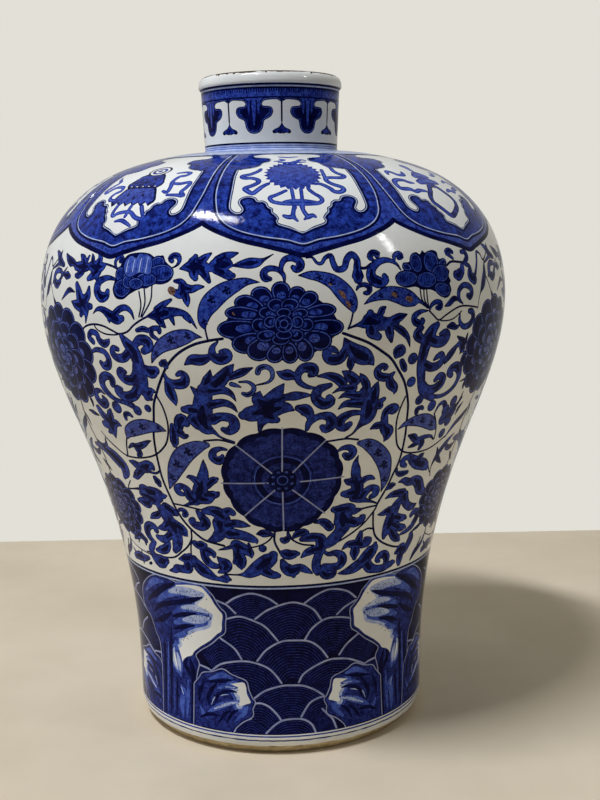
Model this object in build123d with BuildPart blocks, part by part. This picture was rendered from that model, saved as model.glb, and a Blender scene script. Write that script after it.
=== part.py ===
"""Meiping vase: thrown porcelain sections luted one on another over a foot ring and a base disc.

Millimetres, +Z up, with the origin at the centre of the foot's resting plane.
Every section is turned about Z, and a ring of slip keys each joint inside the wall.
"""

import os

from build123d import *

# Foot: the unglazed ring that the vase stands on, and the base disc above its recess
FOOT_HEIGHT = 9.0
FOOT_EDGE_RADIUS = 70.5
FOOT_BEVEL_RADIUS = 75.0
FOOT_BEVEL_HEIGHT = 5.0
FOOT_INNER_RADIUS = 61.0
BASE_THICKNESS = 7.0

# Outer wall from the foot ring to the collar: radius and height of each station
ANKLE_RADIUS = 75.8
CALF_RADIUS, CALF_HEIGHT = 77.4, 54.0
FLANK_RADIUS, FLANK_HEIGHT = 98.3, 144.7
BELLY_RADIUS, BELLY_HEIGHT = 119.1, 217.3
COLLAR_RADIUS, COLLAR_HEIGHT = 38.0, 292.3
# Stations of the shoulder, each with its drop below the collar
SHOULDER_RADIUS, SHOULDER_DROP = 110.2, 35.7
SLOPE_RADIUS, SLOPE_DROP = 87.5, 13.3
CREST_RADIUS, CREST_DROP = 59.5, 3.0
WALL = 7.0

# Heights where the thrown sections of the body meet
WAIST_JOINT_HEIGHT = 88.3
BELLY_JOINT_HEIGHT = 182.0

# Neck and rolled lip
NECK_BORE_RADIUS = 27.0
NECK_FOOT_RADIUS = 35.4
NECK_LOW_RADIUS = 33.8
NECK_TOP_RADIUS = 35.2
NECK_FILLET = 1.6
NECK_FOOT_STEP = 0.6
NECK_LENGTH = 30.7
LIP_RADIUS = 36.4
LIP_BULGE_HEIGHT = 2.0
LIP_HEIGHT = 7.0
LIP_TOP_OUTER_RADIUS = 32.5
LIP_TOP_INNER_RADIUS = 29.4
LIP_INNER_ROUND = 1.6
BORE_RELIEF = 0.8

# Slip keys: rings of dried slip in a groove under each section
KEY_HEIGHT = 1.4
KEY_COVER = 2.2

OFFSET_STEPS = 24
NECK_JOINT_HEIGHT = COLLAR_HEIGHT
RIM_JOINT_HEIGHT = NECK_JOINT_HEIGHT + NECK_LENGTH
OPEN_RADIUS = NECK_BORE_RADIUS + BORE_RELIEF


# Outline of the body's outer wall, drawn with radius along X and height along Y
with BuildLine() as outline:
    Spline(
        (ANKLE_RADIUS, FOOT_HEIGHT),
        (CALF_RADIUS, CALF_HEIGHT),
        (FLANK_RADIUS, FLANK_HEIGHT),
        (BELLY_RADIUS, BELLY_HEIGHT),
        (SHOULDER_RADIUS, COLLAR_HEIGHT - SHOULDER_DROP),
        (SLOPE_RADIUS, COLLAR_HEIGHT - SLOPE_DROP),
        (CREST_RADIUS, COLLAR_HEIGHT - CREST_DROP),
        (COLLAR_RADIUS, COLLAR_HEIGHT),
        tangents=[(0, 1), (-1, 0)],
    )


def stations_at(depth):
    """Points of the curve that runs at this depth under the outer wall."""
    curve = outline.edge()
    shares = [step / OFFSET_STEPS for step in range(OFFSET_STEPS + 1)]
    return [curve @ share + (curve % share).rotate(Axis.Z, 90) * depth for share in shares]


def wall_between(shallow, deep):
    """Half section of the body between two depths under the outer wall, open to the neck."""
    with BuildSketch() as region:
        with BuildLine():
            near = Spline(*stations_at(shallow), tangents=[(0, 1), (-1, 0)])
            far = Spline(*stations_at(deep), tangents=[(0, 1), (-1, 0)])
            Polyline(near @ 1, (OPEN_RADIUS, (near @ 1).Y), (OPEN_RADIUS, (far @ 1).Y), far @ 1)
            Line(near @ 0, far @ 0)
        make_face()
    return region.sketch


def band(low, high):
    """Rectangle of the half section between two heights, wider than the vase."""
    width = 2 * (BELLY_RADIUS + SHOULDER_RADIUS)
    with BuildSketch() as region:
        with Locations((0, low)):
            Rectangle(width, high - low, align=(Align.CENTER, Align.MIN))
    return region.sketch


body_wall = wall_between(0, WALL)
body_core = wall_between(KEY_COVER, WALL - KEY_COVER)

# Half section of everything inside the inner wall, which the base disc fills at the bottom
with BuildSketch() as hollow:
    with BuildLine():
        inner_wall = Spline(*stations_at(WALL), tangents=[(0, 1), (-1, 0)])
        Polyline(inner_wall @ 1, (0, (inner_wall @ 1).Y), (0, FOOT_HEIGHT), inner_wall @ 0)
    make_face()


def key_band(joint_height):
    return band(joint_height, joint_height + KEY_HEIGHT)


# Foot ring: bevelled outside, flat underneath, with a ledge inside for the base disc
with BuildPart() as foot_ring:
    with BuildSketch(Plane.XZ):
        with BuildLine():
            Polyline(
                (FOOT_INNER_RADIUS, 0),
                (FOOT_EDGE_RADIUS, 0),
                (FOOT_BEVEL_RADIUS, FOOT_BEVEL_HEIGHT),
                (ANKLE_RADIUS, FOOT_HEIGHT),
                (FOOT_INNER_RADIUS, FOOT_HEIGHT),
                close=True,
            )
        make_face()
    revolve(axis=Axis.Z)

# Base disc: closes the body and rests on the foot ring's ledge
with BuildPart() as base_disc:
    with BuildSketch(Plane.XZ):
        add(hollow.sketch_local)
        add(band(FOOT_HEIGHT, FOOT_HEIGHT + BASE_THICKNESS), mode=Mode.INTERSECT)
    revolve(axis=Axis.Z)

# Lower body: the thrown section from the foot ring up to the waist joint
with BuildPart() as lower_body:
    with BuildSketch(Plane.XZ):
        add(body_wall)
        add(band(FOOT_HEIGHT, WAIST_JOINT_HEIGHT), mode=Mode.INTERSECT)
        add(body_core & key_band(FOOT_HEIGHT), mode=Mode.SUBTRACT)
    revolve(axis=Axis.Z)

# Middle body: the flaring section between the waist and belly joints
with BuildPart() as middle_body:
    with BuildSketch(Plane.XZ):
        add(body_wall)
        add(band(WAIST_JOINT_HEIGHT, BELLY_JOINT_HEIGHT), mode=Mode.INTERSECT)
        add(body_core & key_band(WAIST_JOINT_HEIGHT), mode=Mode.SUBTRACT)
    revolve(axis=Axis.Z)

# Shoulder: the section that turns in from the belly joint to the flat collar
with BuildPart() as shoulder:
    with BuildSketch(Plane.XZ):
        add(body_wall)
        add(band(BELLY_JOINT_HEIGHT, COLLAR_HEIGHT), mode=Mode.INTERSECT)
        add(body_core & key_band(BELLY_JOINT_HEIGHT), mode=Mode.SUBTRACT)
    revolve(axis=Axis.Z)

# Neck: a straight bore inside a wall that widens a little towards the lip
with BuildSketch() as neck_key:
    with Locations((NECK_BORE_RADIUS + KEY_COVER, NECK_JOINT_HEIGHT)):
        key_width = NECK_FOOT_RADIUS - NECK_BORE_RADIUS - 2 * KEY_COVER
        Rectangle(key_width, KEY_HEIGHT, align=(Align.MIN, Align.MIN))

with BuildPart() as neck:
    with BuildSketch(Plane.XZ):
        with BuildLine():
            foot_top = NECK_JOINT_HEIGHT + NECK_FOOT_STEP
            fillet_top = (NECK_LOW_RADIUS, foot_top + NECK_FILLET)
            Polyline(
                fillet_top,
                (NECK_TOP_RADIUS, RIM_JOINT_HEIGHT),
                (NECK_BORE_RADIUS, RIM_JOINT_HEIGHT),
                (NECK_BORE_RADIUS, NECK_JOINT_HEIGHT),
                (NECK_FOOT_RADIUS, NECK_JOINT_HEIGHT),
                (NECK_FOOT_RADIUS, foot_top),
            )
            Bezier((NECK_FOOT_RADIUS, foot_top), (NECK_LOW_RADIUS, foot_top), fillet_top)
        make_face()
        add(neck_key.sketch_local, mode=Mode.SUBTRACT)
    revolve(axis=Axis.Z)

# Mouth rim: the rolled lip, rounded outside and ground flat on top
with BuildSketch() as rim_key:
    with Locations((NECK_BORE_RADIUS + KEY_COVER, RIM_JOINT_HEIGHT)):
        key_width = NECK_TOP_RADIUS - NECK_BORE_RADIUS - 2 * KEY_COVER
        Rectangle(key_width, KEY_HEIGHT, align=(Align.MIN, Align.MIN))

with BuildPart() as mouth_rim:
    with BuildSketch(Plane.XZ):
        with BuildLine():
            top_height = RIM_JOINT_HEIGHT + LIP_HEIGHT
            bulge = (LIP_RADIUS, RIM_JOINT_HEIGHT + LIP_BULGE_HEIGHT)
            inner_drop = (OPEN_RADIUS, top_height - LIP_INNER_ROUND)
            Polyline(inner_drop, (OPEN_RADIUS, RIM_JOINT_HEIGHT), (NECK_TOP_RADIUS, RIM_JOINT_HEIGHT), bulge)
            Bezier(bulge, (LIP_RADIUS, top_height), (LIP_TOP_OUTER_RADIUS, top_height))
            Line((LIP_TOP_OUTER_RADIUS, top_height), (LIP_TOP_INNER_RADIUS, top_height))
            Bezier((LIP_TOP_INNER_RADIUS, top_height), (OPEN_RADIUS, top_height), inner_drop)
        make_face()
        add(rim_key.sketch_local, mode=Mode.SUBTRACT)
    revolve(axis=Axis.Z)


def slip_ring(half_section):
    """Ring of slip turned from the half section of its groove."""
    with BuildPart() as ring:
        with BuildSketch(Plane.XZ):
            add(half_section)
        revolve(axis=Axis.Z)
    return ring.part


pieces = {
    "foot_ring": foot_ring.part,
    "base_disc": base_disc.part,
    "lower_body": lower_body.part,
    "middle_body": middle_body.part,
    "shoulder": shoulder.part,
    "neck": neck.part,
    "mouth_rim": mouth_rim.part,
    "foot_slip_key": slip_ring(body_core & key_band(FOOT_HEIGHT)),
    "waist_slip_key": slip_ring(body_core & key_band(WAIST_JOINT_HEIGHT)),
    "belly_slip_key": slip_ring(body_core & key_band(BELLY_JOINT_HEIGHT)),
    "neck_slip_key": slip_ring(neck_key.sketch_local),
    "rim_slip_key": slip_ring(rim_key.sketch_local),
}

os.makedirs("parts", exist_ok=True)
for name, piece in pieces.items():
    piece.label = name
    export_step(piece, f"parts/{name}.step")
    print(name, round(piece.volume), piece.is_valid)
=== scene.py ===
import math
import random

import bpy
import numpy as np
from mathutils import Matrix, Vector
from mathutils.geometry import delaunay_2d_cdt


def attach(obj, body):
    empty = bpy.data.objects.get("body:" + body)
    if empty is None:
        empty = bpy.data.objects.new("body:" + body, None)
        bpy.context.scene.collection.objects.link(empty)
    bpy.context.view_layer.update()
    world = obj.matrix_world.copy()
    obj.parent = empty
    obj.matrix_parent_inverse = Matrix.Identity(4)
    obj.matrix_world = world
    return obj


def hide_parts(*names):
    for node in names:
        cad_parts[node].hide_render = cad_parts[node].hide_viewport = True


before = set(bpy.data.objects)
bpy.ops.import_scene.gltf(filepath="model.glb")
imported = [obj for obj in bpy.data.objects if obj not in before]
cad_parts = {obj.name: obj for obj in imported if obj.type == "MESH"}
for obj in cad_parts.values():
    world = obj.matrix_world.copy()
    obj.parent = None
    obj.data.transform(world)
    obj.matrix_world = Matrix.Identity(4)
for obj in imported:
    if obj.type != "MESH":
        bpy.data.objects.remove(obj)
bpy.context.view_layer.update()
MM = 0.001

# Outline of the vase in millimetres, the same sizes as the solid model
FOOT_HEIGHT, TOP_HEIGHT = 9.0, 330.0
WAIST_JOINT, BELLY_JOINT, COLLAR_HEIGHT, RIM_JOINT = 88.3, 182.0, 292.3, 323.0
STATIONS = [
    (75.8, 9.0), (77.4, 54.0), (98.3, 144.7), (119.1, 217.3),
    (110.2, 256.6), (87.5, 279.0), (59.5, 289.3), (38.0, 292.3),
]
SPLINE_SAMPLES = 6001
WALL = 7.0
OPEN_RADIUS = 27.8
NECK_BORE, NECK_LOW, NECK_TOP, NECK_FOOT = 27.0, 33.8, 35.2, 35.4
LIP_RADIUS, LIP_BEND, LIP_CROWN, LIP_INNER = 36.4, 35.0, 32.5, 29.4
SOLE_RADIUS, BEVEL_RADIUS, BEVEL_HEIGHT, ANKLE_RADIUS, RECESS_RADIUS = 70.5, 75.0, 5.0, 75.8, 61.0
BASE_RADIUS, BASE_CENTRE, BASE_TOP = 68.8, 0.4, 16.0


def arc_length(profile):
    """Path length along an outline at each of its points."""
    return np.concatenate([[0], np.cumsum(np.hypot(*np.diff(np.asarray(profile), axis=0).T))])


def clamped_spline(points, start, end):
    """Dense samples of a cubic spline over chord length with given end directions."""
    place = np.asarray(points, float)
    gap = np.hypot(*np.diff(place, axis=0).T)
    knots = np.concatenate([[0], np.cumsum(gap)])
    count = len(place)
    system = np.zeros((count, count))
    target = np.zeros((count, 2))
    system[0, 0] = system[-1, -1] = 1
    target[0], target[-1] = start, end
    for i in range(1, count - 1):
        before, after = gap[i - 1], gap[i]
        system[i, i - 1 : i + 2] = after, 2 * (before + after), before
        arrive, leave = place[i] - place[i - 1], place[i + 1] - place[i]
        target[i] = 3 * (after / before * arrive + before / after * leave)
    direction = np.linalg.solve(system, target)
    along = np.linspace(0, knots[-1], SPLINE_SAMPLES)
    span = np.clip(np.searchsorted(knots, along, side="right") - 1, 0, count - 2)
    part = ((along - knots[span]) / gap[span])[:, None]
    length = gap[span][:, None]
    return (
        (1 + 2 * part) * (1 - part) ** 2 * place[span]
        + part * (1 - part) ** 2 * length * direction[span]
        + part * part * (3 - 2 * part) * place[span + 1]
        + part * part * (part - 1) * length * direction[span + 1]
    )


BODY = clamped_spline(STATIONS, (0, 1), (-1, 0))
BODY_PATH = arc_length(BODY)
BODY_SLOPE = np.gradient(BODY, BODY_PATH, axis=0)
BODY_END = float(BODY_PATH[-1])


def path_at(height):
    """Length along the outline from the ankle to a height."""
    return float(np.interp(height, BODY[:, 1], BODY_PATH))


def degree_mm(path):
    """Millimetres of surface in one degree round the vase at a path length."""
    return np.radians(1.0) * np.interp(path, BODY_PATH, BODY[:, 0])


# Inks: every painted edge is cut into the mesh, and each face takes one ink
GLAZE, PALE, WASH, LIGHT, LINE, NAVY, STAIN, BARE, BORDER, FOAM, DISC, RIBBON, CHIP = range(13)

# Brush, in millimetres: the thinnest half width, points in a round end, and where wash and cobalt gather
THINNEST, CAP_POINTS = 0.1, 2.5
WASH_LEAST, POOL_LEAST = 0.7, 2.4
POOL_MIDDLE, POOL_END = 0.44, 0.2


def smooth(points, step=0.9, per=degree_mm):
    """Brush points of angle, path and width joined by a Catmull-Rom curve."""
    place = np.asarray(points, float)
    run = np.vstack([2 * place[0] - place[1], place, 2 * place[-1] - place[-2]])
    rows = []
    for i in range(len(place) - 1):
        a, b, c, d = run[i : i + 4]
        length = math.hypot((c[0] - b[0]) * per(b[1]), c[1] - b[1])
        count = max(2, int(length / step) + 1)
        t = (np.arange(count) / count)[:, None]
        bend, twist = 2 * a - 5 * b + 4 * c - d, 3 * b - a - 3 * c + d
        rows.append(0.5 * (2 * b + (c - a) * t + bend * t**2 + twist * t**3))
    rows.append(place[-1:])
    return np.vstack(rows)


def lined(points, width):
    """Brush points of one width."""
    return [(p[0], p[1], width) for p in points]


def curve(points, step=0.8, per=degree_mm):
    """Smooth outline through points of angle and path length."""
    return smooth(lined(points, 1), step, per)[:, :2]


def ribbon(points, inset=0.0, step=0.9, per=degree_mm):
    """Outline of a brush stroke with round ends, inset by some millimetres; None if nothing is left."""
    run = smooth(points, step, per)
    half = run[:, 2] / 2 - inset
    keep = half > THINNEST
    if keep.sum() < 2:
        return None
    first, last = np.argmax(keep), len(keep) - np.argmax(keep[::-1])
    run, half = run[first:last], np.maximum(half[first:last], THINNEST)
    degree = per(run[:, 1])
    across, along = np.gradient(run[:, 0]) * degree, np.gradient(run[:, 1])
    size = np.hypot(across, along) + 1e-9
    across, along = across / size, along / size
    left = np.stack([run[:, 0] - along * half / degree, run[:, 1] + across * half], 1)
    right = np.stack([run[:, 0] + along * half / degree, run[:, 1] - across * half], 1)

    def cap(i, sign):
        """Half circle round one end of the stroke."""
        turns = np.linspace(0, math.pi, 2 + int(half[i] * CAP_POINTS) + 1)[1:-1]
        x = np.cos(turns) * -along[i] * sign + np.sin(turns) * across[i] * sign
        y = np.cos(turns) * across[i] * sign + np.sin(turns) * along[i] * sign
        return np.stack([run[i, 0] + x * half[i] / degree[i], run[i, 1] + y * half[i]], 1)

    return np.vstack([left, cap(-1, 1), right[::-1], cap(0, -1)])


def oval(angle, path, wide, tall, points=28, per=degree_mm):
    """Ellipse of half sizes in millimetres round a place on the surface."""
    turns = np.linspace(0, math.tau, points, endpoint=False)
    return np.stack([angle + np.cos(turns) * wide / per(path), path + np.sin(turns) * tall], 1)


def round_place(angle, path, reach, turn):
    """The place some millimetres from another one, at a turn in radians."""
    return angle + reach * math.cos(turn) / degree_mm(path), path + reach * math.sin(turn)


def band(low, high, ink):
    """A plain ring of paint all round, a little past the seam."""
    a = np.linspace(-181, 181, 240)
    foot = np.stack([a, np.full_like(a, low)], 1)
    top = np.stack([a[::-1], np.full_like(a, high)], 1)
    return np.vstack([foot, top]), ink


def turned_copies(paint, turns):
    """Copies of some paint, each turned round the vase by an angle."""
    return [(p + (turn, 0), ink) for turn in turns for p, ink in paint if p is not None]


def paint_strokes(paint, strokes, edge, fill=WASH):
    """Dark outlines of a group of strokes, then the wash inside and cobalt pooled at the widest point."""
    for stroke in strokes:
        paint.append((ribbon(stroke), LINE))
    for stroke in strokes:
        if max(p[2] for p in stroke) > 2 * edge + WASH_LEAST:
            paint.append((ribbon(stroke, edge), fill))
    for stroke in strokes:
        widest = max(range(len(stroke)), key=lambda i: stroke[i][2])
        most = stroke[widest][2]
        if most > POOL_LEAST and len(stroke) > 2:
            near = stroke[max(0, widest - 1) : widest + 2]
            pool = [(a, s, w * (POOL_MIDDLE if w == most else POOL_END)) for a, s, w in near]
            paint.append((ribbon(pool), LINE))


# Places of the ornament were picked by eye in the photo; a camera solved beforehand turned many of them
# from pixels into angle and path length, and they are typed here to a tenth of a degree or millimetre
# Lotus scroll of one third of the body: brush points of angle, path length and width
TOP_LEAVES = [
    [(-20, 236.2, 0.6), (-18.4, 237, 4), (-16.5, 237.3, 7.5), (-14.6, 236.8, 5.5), (-13.4, 236.5, 3)],
    [(-17.2, 238, 5), (-16.8, 240, 4.6), (-16.6, 241.5, 2.4)],
    [(-15.6, 239, 4.5), (-14.3, 241.3, 3), (-13.2, 242.9, 1)],
    [(-16.8, 236, 5), (-16.7, 233.6, 4.2), (-16.4, 232.2, 2.6)],
    [(-15, 236, 4.5), (-14, 232.8, 3.2), (-13.4, 230.8, 1.8)],
    [(-13.6, 236, 2.6), (-12.2, 237.5, 6), (-10.5, 238, 7.5), (-9.2, 238, 4.5), (-8.4, 237.4, 1)],
    [(-11.5, 239.5, 5), (-10.2, 241.3, 4), (-8.6, 242.3, 2.6), (-7.5, 242.9, 1)],
    [(-12, 236, 4), (-10.5, 234.6, 4), (-9.2, 233.4, 4), (-8.4, 233.2, 2.4)],
    [(-8.5, 237.4, 0.8), (-6.8, 238, 3), (-5, 238.4, 4.6), (-3.3, 238.8, 3.8), (-1.9, 240, 1.4),
     (0, 242.2, 0.4)],
    [(2.2, 229.8, 0.8), (2, 233.2, 1.8), (0.8, 235.6, 2.2), (-1, 236, 2.6), (-2.1, 234.2, 3),
     (-1.7, 232, 3.4), (-0.8, 231.6, 2)],
    [(1.7, 233.5, 1.2), (1.6, 237, 2), (2.4, 239.8, 2.6), (4, 240.4, 3), (5.4, 239, 3.4),
     (5.5, 236.8, 3.8), (4.6, 235.6, 3.4), (4, 236.4, 2)],
    [(6.8, 240.2, 0.5), (8.1, 240.5, 1), (9, 238.2, 1.3), (10, 237.8, 1.5), (10.9, 240.2, 1.7),
     (12.1, 241, 2.2), (12.5, 238, 2.5), (13.2, 235.2, 2.7), (14.8, 235.6, 2.7), (15.6, 239.4, 2.8),
     (16.8, 241.4, 2.8), (17.8, 239, 2.8), (17.7, 235.5, 3.4)],
    [(17.7, 235, 3.4), (17.7, 231.8, 5.4), (17.7, 230.6, 4)],
    [(17.2, 226, 0.8), (17.8, 227.6, 1.6), (19, 228.2, 2), (20.2, 226.8, 2.4), (19.8, 224.8, 2.4),
     (19, 224.6, 1.6)],
    [(-21.8, 236.6, 0.6), (-20.8, 237.6, 1), (-20.2, 239.5, 1.8), (-20.5, 241.6, 2.5),
     (-21.5, 242.1, 2.6), (-22.3, 240.8, 2.6), (-21.9, 239.6, 2)],
    [(-35.2, 235.5, 0.8), (-36.2, 236.8, 1.2), (-36.6, 239.5, 1.8), (-35.6, 241.6, 2),
     (-34.6, 240.6, 2.2), (-35.1, 239.6, 2.2)],
    [(-21, 231, 1.4), (-19.6, 230.6, 3), (-19, 227.6, 5), (-19.6, 225.4, 4), (-21, 226.2, 3)],
    [(-18.6, 228, 4), (-17.2, 227.6, 3.4), (-15.8, 228.4, 2.4), (-14.6, 228.6, 1)],
    [(-18.6, 225.6, 3.4), (-18.2, 222.6, 3.2), (-18, 220.4, 1)],
    [(-35.8, 231.4, 1.2), (-38.5, 232, 2.4), (-41, 230, 3.8), (-41.5, 226, 4.6), (-40.2, 223.4, 4.8),
     (-38.6, 224.2, 4), (-38.2, 226, 2.6)],
    [(-39.2, 238.2, 0.8), (-40.6, 237, 4.4), (-42.6, 236.6, 6), (-44.6, 237.2, 4)],
    [(-42, 238, 4.5), (-41.6, 240.6, 3.6), (-42, 242, 1.8)],
    [(-43.8, 238.4, 3), (-44.2, 241, 2.2), (-44.6, 242.6, 0.8)],
    [(-42.2, 235, 5), (-43.4, 232.8, 4), (-44.8, 231.4, 2.4)], [(-41.4, 234.8, 3.6), (-42, 232, 2.6)],
    [(-45.6, 236.6, 4), (-47.6, 236.6, 5.5), (-50, 236.8, 4)],
    [(-47, 238, 4.6), (-47.8, 240.6, 3.6), (-49, 242.2, 1)], [(-46.4, 238.6, 2.6), (-45.6, 241.6, 1.4)],
    [(-47.4, 234.8, 4.4), (-48.8, 232.8, 3.6), (-49.8, 232.6, 2)],
    [(-45.8, 211.4, 0.8), (-45.5, 214.6, 2.4), (-45.6, 218, 6), (-46.6, 220.4, 8)],
    [(-46, 221, 5), (-44.6, 224, 4), (-44.3, 227.4, 1.8)],
    [(-47.4, 221.5, 6), (-48.2, 225.6, 4.6), (-49, 228.6, 2.8)],
    [(-47.6, 219, 6), (-49.6, 219.6, 4), (-51, 220.6, 1)], [(-46.8, 217, 5), (-47.4, 215, 2.6)],
    [(-45, 219, 4), (-43.6, 219, 2.8)],
    [(-43, 215.8, 0.4), (-41.4, 218, 1.8), (-39.6, 217.8, 3), (-37.6, 215.6, 4.6), (-35.6, 213.9, 4.6),
     (-34.2, 214.4, 3)], [(-38, 213.6, 2), (-37.8, 212.4, 1)],
    [(-36.4, 215.8, 3.4), (-34.8, 218.4, 3), (-33, 219.2, 2.6), (-31.6, 217.4, 1.8), (-30.9, 214.2, 0.6)],
    [(-27.4, 215.8, 1.2), (-25.2, 216.4, 5), (-22.8, 217.4, 5), (-20.2, 217.8, 3.2), (-18, 216, 2.2),
     (-16.2, 210.8, 0.5)], [(-25, 218.4, 4), (-23.6, 220.8, 3), (-21.8, 223, 1.4)],
    [(-24.8, 215, 4), (-24, 212.6, 3), (-23.4, 211.4, 1.4)], [(-21.8, 215.6, 2.6), (-21.2, 212.4, 1)],
    [(-18.8, 216, 2), (-17.6, 213.4, 1)],
    [(-30.4, 209.4, 1.8), (-28.8, 210.2, 2.6), (-27.4, 209.6, 2.2), (-26.2, 210.6, 2.2),
     (-24.9, 210.4, 2.6), (-24.8, 209, 2)],
    [(-26.8, 209.4, 2.4), (-26.6, 207.4, 2.2), (-25.4, 205.8, 1.4)],
    [(28, 233.8, 0.6), (27, 236.6, 1.4), (25, 238.4, 2.2), (22.6, 237.6, 3.2), (20.9, 234.4, 4),
     (20.9, 230.8, 5), (22.6, 228.8, 5), (24, 230, 3.8), (23.8, 231.6, 2.4)],
    [(21.6, 238.4, 1.4), (20.8, 240, 2.6), (21.6, 241.8, 2.8), (22.8, 241.2, 2.8), (22.4, 240.2, 1.8)],
    [(26.6, 238.2, 1.4), (26.8, 240.2, 2), (28, 241.2, 2.2), (28.6, 239.8, 2.4), (27.8, 239.2, 2)],
    [(15.4, 209.8, 0.8), (17.2, 211, 1.4), (18.6, 211.4, 4), (20, 212.4, 7.5), (22, 211.5, 7),
     (24, 211, 5.6), (26, 211.4, 5)], [(20.4, 214, 4), (20.2, 215.8, 3.4)],
    [(22.4, 215, 3), (23, 217.2, 3.2), (23.6, 218, 1.4)],
    [(25.4, 212.4, 3.6), (27.2, 213.4, 3.8), (28.9, 214.4, 1)],
    [(20.4, 209.5, 5), (20.6, 207.4, 5), (22.2, 205.4, 3.4)],
    [(24.6, 209, 4.4), (25, 206, 4), (25.4, 203, 1.6)],
    [(25.6, 210, 2), (27.6, 207.8, 3.4), (29.4, 204.4, 2.4), (30.3, 199.8, 0.5)],
    [(34.6, 215.4, 0.8), (32.6, 215.2, 2), (31, 213.4, 3), (31.2, 211, 3.4), (32.6, 210, 3.4),
     (33.4, 211.2, 2.4), (33, 212, 1.4)],
    [(35.2, 215.6, 0.8), (35.6, 217.6, 1.8), (37, 219, 2.2), (38.4, 218.2, 2.6), (38.2, 216.4, 2.8),
     (37.2, 216.4, 1.8)],
    [(39.8, 216.8, 0.8), (41.2, 217.8, 2.6), (42.6, 219.6, 2.8), (44, 219.4, 1.6), (45, 218, 1)],
    [(46, 217, 0.8), (44.6, 219.4, 2), (44.6, 223, 2.6), (46.4, 225.4, 2.6), (48.8, 224.4, 3),
     (49.6, 222, 3.2), (48.8, 220, 3.4), (47.8, 220.6, 2.2)],
    [(45, 213, 0.8), (45, 209.4, 2), (46.6, 206.6, 2.6), (49, 207, 3.2), (50.4, 210, 3.4),
     (49.8, 212.8, 3.2), (48.6, 213.4, 2.4)],
    [(41, 207.4, 1.6), (42.4, 207.6, 3.4), (44, 206.6, 2.2), (45, 207.4, 1)],
    [(43.8, 237.8, 1.4), (42.6, 239.6, 2), (41.8, 240.8, 2.4), (43, 241.6, 2.6), (44, 240.8, 2)],
    [(46.8, 235, 2.4), (46.4, 232, 4), (45, 230.2, 5.4), (44, 230.4, 4)],
    [(47.8, 235.6, 2), (49.2, 238, 3), (48.8, 240.4, 2.6), (47.4, 240.6, 2)],
    [(48, 235, 2), (49.6, 233.6, 2.4), (49.6, 229.6, 5), (51, 227.6, 5)],
    [(-56, 237, 2), (-58.6, 239, 4), (-60.4, 242, 3), (-62, 243.6, 1)],
    [(-52.6, 238, 3.4), (-54.4, 240.2, 3), (-55.8, 242.4, 1)],
    [(-56, 232.6, 2), (-57.6, 234.4, 2.4), (-60, 233.6, 3), (-60.6, 230, 3.6), (-58.8, 227.8, 4),
     (-57.2, 229.4, 3)], [(-55.4, 232.4, 1), (-53.8, 232.4, 4), (-52.4, 232, 2)],
]
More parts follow.
